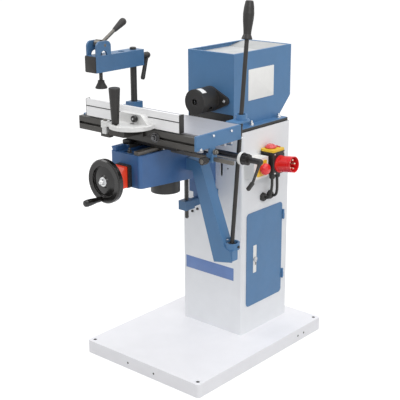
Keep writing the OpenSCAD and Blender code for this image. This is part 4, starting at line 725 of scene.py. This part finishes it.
ribAside = frameWide / 2 + kneeTrim["ribOut"] / 2 - ribLap
outline = roundOutline(kneeTrim["ribOut"] + 2 * ribLap, kneeTrim["ribHeight"], kneeTrim["ribCorner"])
for i in range(kneeTrim["ribs"]):
    z = (i - ribGaps / 2) * frameTall * kneeTrim["ribShare"] / ribGaps
    addPrism(shape, outline, ribIn, deep - ribIn, framePlace @ Matrix.Translation((ribAside, z, 0)))
putPiece("indicatorFrame", shape, "mattBlack", "knee")
print("knee trimmed")

# knee's left way: its dovetail front end, and a black wiper ahead of the cross slide
# the lip stops short of the slide's cheek, and the tongue goes on to the rail inside the slide's gap
wayForm = {"tongueX": (-56, -37), "lipX": -63, "innerX": -42, "front": 3, "lipBack": 50, "tall": 14,
           "tongueTall": 11.7, "tongueBack": 57.9, "bevel": 0.6, "wiperX": (-69, -38), "wiperLong": 28,
           "wiperZ": (15, 25), "wiperChamfer": 3, "skirtX": -64.2, "skirtLow": 4}
kneeFront = boxOf("knee_casting")[0].y
wayFront, wayBack, tongueBack = (kneeFront + wayForm[k] for k in ("front", "lipBack", "tongueBack"))
tongueLow, tongueHigh = wayForm["tongueX"]
shape = bmesh.new()
dovetail = [(tongueLow, 0), (wayForm["innerX"], 0), (wayForm["innerX"], wayForm["tall"]),
            (wayForm["lipX"], wayForm["tall"])]
addPrism(shape, dovetail, 0, wayBack - wayFront, frontAt((0, wayBack, kneeTop)))
tongueTall = wayForm["tongueTall"]
tongue = [(tongueLow, 0), (tongueHigh, 0), (tongueHigh, tongueTall), (tongueLow, tongueTall)]
addPrism(shape, tongue, 0, tongueBack - wayBack, frontAt((0, tongueBack, kneeTop)))
putPiece("kneeWay", shape, "castBlue", "knee", wayForm["bevel"])
shape = bmesh.new()
wiperLow, wiperHigh = wayForm["wiperX"]
wiperBase, wiperTop = wayForm["wiperZ"]
skirtX, skirtLow, chamfer = wayForm["skirtX"], wayForm["skirtLow"], wayForm["wiperChamfer"]
outline = [(wiperLow, skirtLow), (skirtX, skirtLow), (skirtX, wiperBase), (wiperHigh, wiperBase),
           (wiperHigh, wiperTop), (wiperLow + chamfer, wiperTop), (wiperLow, wiperTop - chamfer)]
addPrism(shape, outline, 0, wayForm["wiperLong"], frontAt((0, crossLow.y, kneeTop)))
putPiece("slideWiper", shape, "mattBlack", "cross", wayForm["bevel"])
print("way ends set")

# nut bracket: rib from the top of its arm up to the end of the column's way
ribForm = {"armHalf": 11.5, "wide": 34, "lap": 0.5, "corner": 1, "bevel": 0.8}
bracketLow, bracketHigh = boxOf("nut_bracket")
columnWayLow = boxOf("slide_way")[0]
armTop = middle(bracketLow.z, bracketHigh.z) + ribForm["armHalf"]
ribTop = columnWayLow.z + ribForm["lap"]
shape = bmesh.new()
ribAt = (0, middle(columnWayLow.y, bracketHigh.y), middle(armTop, ribTop))
outline = roundOutline(bracketHigh.y - columnWayLow.y, ribTop - armTop, ribForm["corner"])
addPrism(shape, outline, -ribForm["wide"] / 2, ribForm["wide"] / 2, sideAt(ribAt))
putPiece("bracketRib", shape, "castBlue", "frame", ribForm["bevel"])
print("nut bracket ribbed")

# lifting screw: left-hand thread cut into the rod, with the miter gear on its top
screwForm = {"rodR": 6.95, "threadDepth": 0.8, "pitch": 5.0, "crest": 0.38, "flank": 0.14, "stepsRound": 24,
             "stepsPitch": 8, "tip": 3.5, "tipShare": 0.5, "gearTeeth": 16, "gearPitchR": 16, "gearFace": 7,
             "tooth": 1.6, "toothTop": 0.7, "rootTurn": 0.3, "tipTurn": 0.13, "hubIn": 4, "hubTall": 5,
             "hubEase": 0.5}
screwLow, screwHigh = boxOf("lead_screw")
screwMid = (middle(screwLow.x, screwHigh.x), middle(screwLow.y, screwHigh.y))


# share of the thread's depth at one point of its turn: crest, flank, root, flank
def threadCut(phase, crest, flank):
    phase = phase % 1.0
    if phase < crest:
        return 0.0
    if phase < crest + flank:
        return (phase - crest) / flank
    if phase < 1.0 - flank:
        return 1.0
    return (1.0 - phase) / flank


def addThreadedRod(shape, form, axis, low, high):
    rows = []
    count = int((high - low) / form["pitch"] * form["stepsPitch"])
    for k in range(count + 1):
        z = low + (high - low) * k / count
        reach = form["rodR"] * min(1.0, form["tipShare"] + (z - low) / form["tip"] * (1 - form["tipShare"]))
        ring = []
        for i in range(form["stepsRound"]):
            share = i / form["stepsRound"]
            cut = threadCut(z / form["pitch"] + share, form["crest"], form["flank"])
            r = reach - form["threadDepth"] * cut
            a = 2 * math.pi * share
            ring.append(Vector((axis[0] + r * math.cos(a), axis[1] + r * math.sin(a), z)))
        rows.append(ring)
    addRings(shape, rows)


def addMiterGear(shape, form, axis, top):
    low = top - form["gearFace"]
    point = low + form["gearPitchR"]
    root, tip = form["gearPitchR"] - form["tooth"], form["gearPitchR"] + form["tooth"] * form["toothTop"]
    rootTurn, tipTurn = form["rootTurn"], form["tipTurn"]
    rows = []
    for z in (low, top):
        share = (point - z) / form["gearPitchR"]
        ring = []
        for i in range(form["gearTeeth"]):
            for r, turn in ((root, -rootTurn), (tip, -tipTurn), (tip, tipTurn), (root, rootTurn)):
                a = 2 * math.pi * (i + turn) / form["gearTeeth"]
                ring.append(Vector((axis[0] + r * share * math.cos(a), axis[1] + r * share * math.sin(a), z)))
        rows.append(ring)
    addRings(shape, rows)
    hub, hubTall, ease = form["gearPitchR"] - form["hubIn"], form["hubTall"], form["hubEase"]
    profile = [(hub - ease, -hubTall), (hub, ease - hubTall), (hub, 0)]
    addTurned(shape, profile, Matrix.Translation((*axis, low)))


shape = bmesh.new()
addThreadedRod(shape, screwForm, screwMid, screwLow.z, screwHigh.z - screwForm["gearFace"])
addMiterGear(shape, screwForm, screwMid, screwHigh.z)
piece = putPiece("threadedScrew", shape, "railBlack", "screw")
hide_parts("lead_screw")
print("lifting screw threaded")

# handwheel: domed nut and washer on the shaft's end
wheelTrim = {"washerR": 15, "washerWall": 1.6, "washerTall": 2.2, "washerEase": 0.7, "nutFlats": 19,
             "nutTop": 8, "nutTurn": 15, "domeR": 8.5, "domeShare": 0.9, "domeSteps": 9}
nutPlace = facing(frontOf(*boxOf("handwheel")), toFront, wheelTrim["nutTurn"])
washerR, washerTall, domeR, nutTop = (wheelTrim[k] for k in ("washerR", "washerTall", "domeR", "nutTop"))
shape = bmesh.new()
profile = [(washerR, 0), (washerR, wheelTrim["washerWall"]), (washerR - wheelTrim["washerEase"], washerTall)]
addTurned(shape, profile, nutPlace)
addPrism(shape, hexOutline(wheelTrim["nutFlats"]), washerTall, nutTop, nutPlace)
domeTall, quarter = domeR * wheelTrim["domeShare"], arcTurns(0, 90, wheelTrim["domeSteps"])
addTurned(shape, [(domeR * math.cos(a), nutTop + domeTall * math.sin(a)) for a in quarter], nutPlace)
putPiece("wheelNut", shape, "brightZinc", "wheel")
print("handwheel trimmed")

# depth lock: pale ring round the tube's end disc
lockTrim = {"wall": 0.6, "long": 11.9, "tubeR": 13.6, "fromEnd": 12, "lap": 0.1, "ease": 1, "endEase": 0.5,
            "endDown": 0.9, "floor": 3}
tubeLow, tubeHigh = boxOf("lock_tube")
discR = (tubeHigh.z - tubeLow.z) / 2
outside, inside, tubeR = discR + lockTrim["wall"], discR - lockTrim["lap"], lockTrim["tubeR"]
ease, floorTop, ringLong = lockTrim["ease"], lockTrim["floor"], lockTrim["long"]
shape = bmesh.new()
ringAt = (tubeHigh.x - lockTrim["fromEnd"], middle(tubeLow.y, tubeHigh.y), middle(tubeLow.z, tubeHigh.z))
profile = [(tubeR, 0), (outside - ease, 0), (outside, ease), (outside, ringLong - lockTrim["endDown"]),
           (outside - lockTrim["endEase"], ringLong), (inside, ringLong), (inside, floorTop),
           (tubeR, floorTop)]
addHollow(shape, profile, facing(ringAt, toRight))
putPiece("lockRing", shape, "plateWhite", "knee")
print("lock trimmed")

# joystick pivot: screw over the trunnion's end
pivotTrim = {"screw": dict(radius=4.5, head=3.5, socket=2), "at": (263, -150, 469)}
shape = bmesh.new()
addCapScrew(shape, facing(pivotTrim["at"], toRight), **pivotTrim["screw"])
putPiece("pivotScrew", shape, "satinBlack", "knee")
print("pivot trimmed")

# switch gear: corner screws on the box, inlet pins, yellow plate behind the stop mushroom
switchTrim = {"screw": dict(radius=3, head=1.6, socket=1.3), "screwIn": 6, "pins": 5, "pinR": 3.4,
              "pinCircle": 15.68, "pinFrom": 22.2, "pinTo": 54.6, "pinTip": 1.6, "pinEase": 1.2, "lift": 7,
              "inletAside": 2, "inletBelow": 44, "plateHalf": 27, "plateThick": 1.2, "plateCorner": 5,
              "plateHole": 14}
boxLow, boxHigh = boxOf("switch_box")
shape = bmesh.new()
for y in (boxLow.y + switchTrim["screwIn"], boxHigh.y - switchTrim["screwIn"]):
    for z in (boxLow.z + switchTrim["screwIn"], boxHigh.z - switchTrim["screwIn"]):
        addCapScrew(shape, facing((boxHigh.x, y, z), toRight), **switchTrim["screw"])
putPiece("boxScrews", shape, "brightZinc", "frame")
inletY = middle(boxLow.y, boxHigh.y) + switchTrim["inletAside"]
inletAt = (boxHigh.x, inletY, boxHigh.z - switchTrim["inletBelow"])
tilt = math.radians(switchTrim["lift"])
inletPlace = facing(inletAt, (math.cos(tilt), 0, math.sin(tilt)))
shape = bmesh.new()
pinR, pinFrom, pinTo, pinCircle = (switchTrim[k] for k in ("pinR", "pinFrom", "pinTo", "pinCircle"))
profile = [(pinR, pinFrom), (pinR, pinTo - switchTrim["pinTip"]), (pinR - switchTrim["pinEase"], pinTo)]
for a in fullTurns(switchTrim["pins"]):
    across = Matrix.Translation((pinCircle * math.cos(a), pinCircle * math.sin(a), 0))
    addTurned(shape, profile, inletPlace @ across, steps=20)
putPiece("inletPins", shape, "pinBrass", "frame")
stopLow, stopHigh = boxOf("estop_button")
half, hole = switchTrim["plateHalf"], switchTrim["plateHole"]
outer = roundOutline(2 * half, 2 * half, switchTrim["plateCorner"])
turns = [math.atan2(y, x) for x, y in outer]
inner = [(hole * math.cos(a), hole * math.sin(a)) for a in turns]
stopAt = (boxOf("estop_box")[1].x, middle(stopLow.y, stopHigh.y), middle(stopLow.z, stopHigh.z))
shape = bmesh.new()
addBand(shape, inner, outer, switchTrim["plateThick"], sideAt(stopAt))
putPiece("estopPlate", shape, "signalYellow", "frame")
print("switch gear trimmed")

# cables: smooth leads along the route of the solids, from the box's glands to the column's
# a step is the move in X, then the shares of the move in Y and of the fall
cableForm = {"radius": 4.8, "startX": 176, "startY": (146, 175), "startZ": 617, "endY": (144, 183),
             "endZ": 545, "cuts": 6, "sides": 18,
             "steps": ((0, 0, 0), (0, 0, 0.11), (0, 0.1, 0.28), (-1, 0.3, 0.47), (-3, 0.55, 0.667),
                       (-7, 0.78, 0.861), (-14, 0.93, 0.965), (-20, 1, 1), (-26, 1, 1))}


def smoothRoute(points, cuts):
    route = []
    ends = [2 * points[0] - points[1]] + points + [2 * points[-1] - points[-2]]
    for i in range(1, len(ends) - 2):
        a, b, c, d = ends[i - 1:i + 3]
        rise, bend, twist = c - a, 2 * a - 5 * b + 4 * c - d, 3 * b - a - 3 * c + d
        for k in range(cuts):
            t = k / cuts
            route.append(b + 0.5 * (rise * t + bend * t * t + twist * t ** 3))
    return route + [points[-1]]


def addCable(shape, route, radius, sides):
    rows = []
    side = Vector((0, 1, 0))
    for i, point in enumerate(route):
        along = (route[min(i + 1, len(route) - 1)] - route[max(i - 1, 0)]).normalized()
        side = (side - along * side.dot(along)).normalized()
        over = along.cross(side)
        rows.append([point + radius * (side * math.cos(a) + over * math.sin(a)) for a in fullTurns(sides)])
    addRings(shape, rows)


shape = bmesh.new()
startX, startZ = cableForm["startX"], cableForm["startZ"]
fall = startZ - cableForm["endZ"]
for startY, endY in zip(cableForm["startY"], cableForm["endY"]):
    points = [Vector((startX + dx, startY + (endY - startY) * dy, startZ - fall * dz))
              for dx, dy, dz in cableForm["steps"]]
    addCable(shape, smoothRoute(points, cableForm["cuts"]), cableForm["radius"], cableForm["sides"])
piece = putPiece("smoothCables", shape, "cableRubber", "frame")
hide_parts("power_cables")
print("cables laid")

# studio: pale floor that keeps the shadow, white surroundings and soft lamps
studio = {"floorTone": 0.55, "floorRough": 0.9, "floorGlow": 0.66, "ambient": 0.62, "reach": 30,
          "aim": (0, -0.05, 0.6),
          "lamps": (("keyLamp", (3.0, -1.6, 3.2), 2.6, 55.0), ("fillLamp", (-2.0, -1.4, 3.2), 1.6, 22.0),
                    ("topLamp", (0.2, 0.6, 3.6), 3.0, 40.0))}


def seenDirectly(nodes):
    path = nodes.add("LightPath")
    total = None
    for name in ("Is Camera Ray", "Is Glossy Ray", "Is Transmission Ray"):
        if total is None:
            total = path.outputs[name]
            continue
        join = nodes.add("Math")
        join.operation = "MAXIMUM"
        nodes.link(total, join.inputs[0])
        nodes.link(path.outputs[name], join.inputs[1])
        total = join.outputs["Value"]
    return total


def makeStudio(values):
    world = bpy.data.worlds.new("studioWorld")
    world.use_nodes = True
    nodes = Nodes(world.node_tree)
    background = world.node_tree.nodes["Background"]
    background.inputs["Color"].default_value = (1, 1, 1, 1)
    nodes.link(between(nodes, seenDirectly(nodes), values["ambient"], 1.0), background.inputs["Strength"])
    scene.world = world
    mesh = bpy.data.meshes.new("studioFloor")
    reach = values["reach"]
    corners = [(-reach, -reach, 0), (reach, -reach, 0), (reach, reach, 0), (-reach, reach, 0)]
    mesh.from_pydata(corners, [], [(0, 1, 2, 3)])
    floor = bpy.data.objects.new("studioFloor", mesh)
    scene.collection.objects.link(floor)
    material = bpy.data.materials.new("studioFloor")
    material.use_nodes = True
    nodes = Nodes(material.node_tree)
    shader = material.node_tree.nodes["Principled BSDF"]
    tone = values["floorTone"]
    shader.inputs["Base Color"].default_value = (tone, tone, tone, 1)
    shader.inputs["Roughness"].default_value = values["floorRough"]
    shader.inputs["Emission Color"].default_value = (1, 1, 1, 1)
    glow = between(nodes, seenDirectly(nodes), 0.0, values["floorGlow"])
    nodes.link(glow, shader.inputs["Emission Strength"])
    mesh.materials.append(material)
    for name, place, size, power in values["lamps"]:
        data = bpy.data.lights.new(name, "AREA")
        data.shape = "DISK"
        data.size = size
        data.energy = power
        lamp = bpy.data.objects.new(name, data)
        lamp.location = place
        lamp.rotation_euler = (Vector(values["aim"]) - Vector(place)).to_track_quat("-Z", "Y").to_euler()
        scene.collection.objects.link(lamp)


makeStudio(studio)
print("studio set")
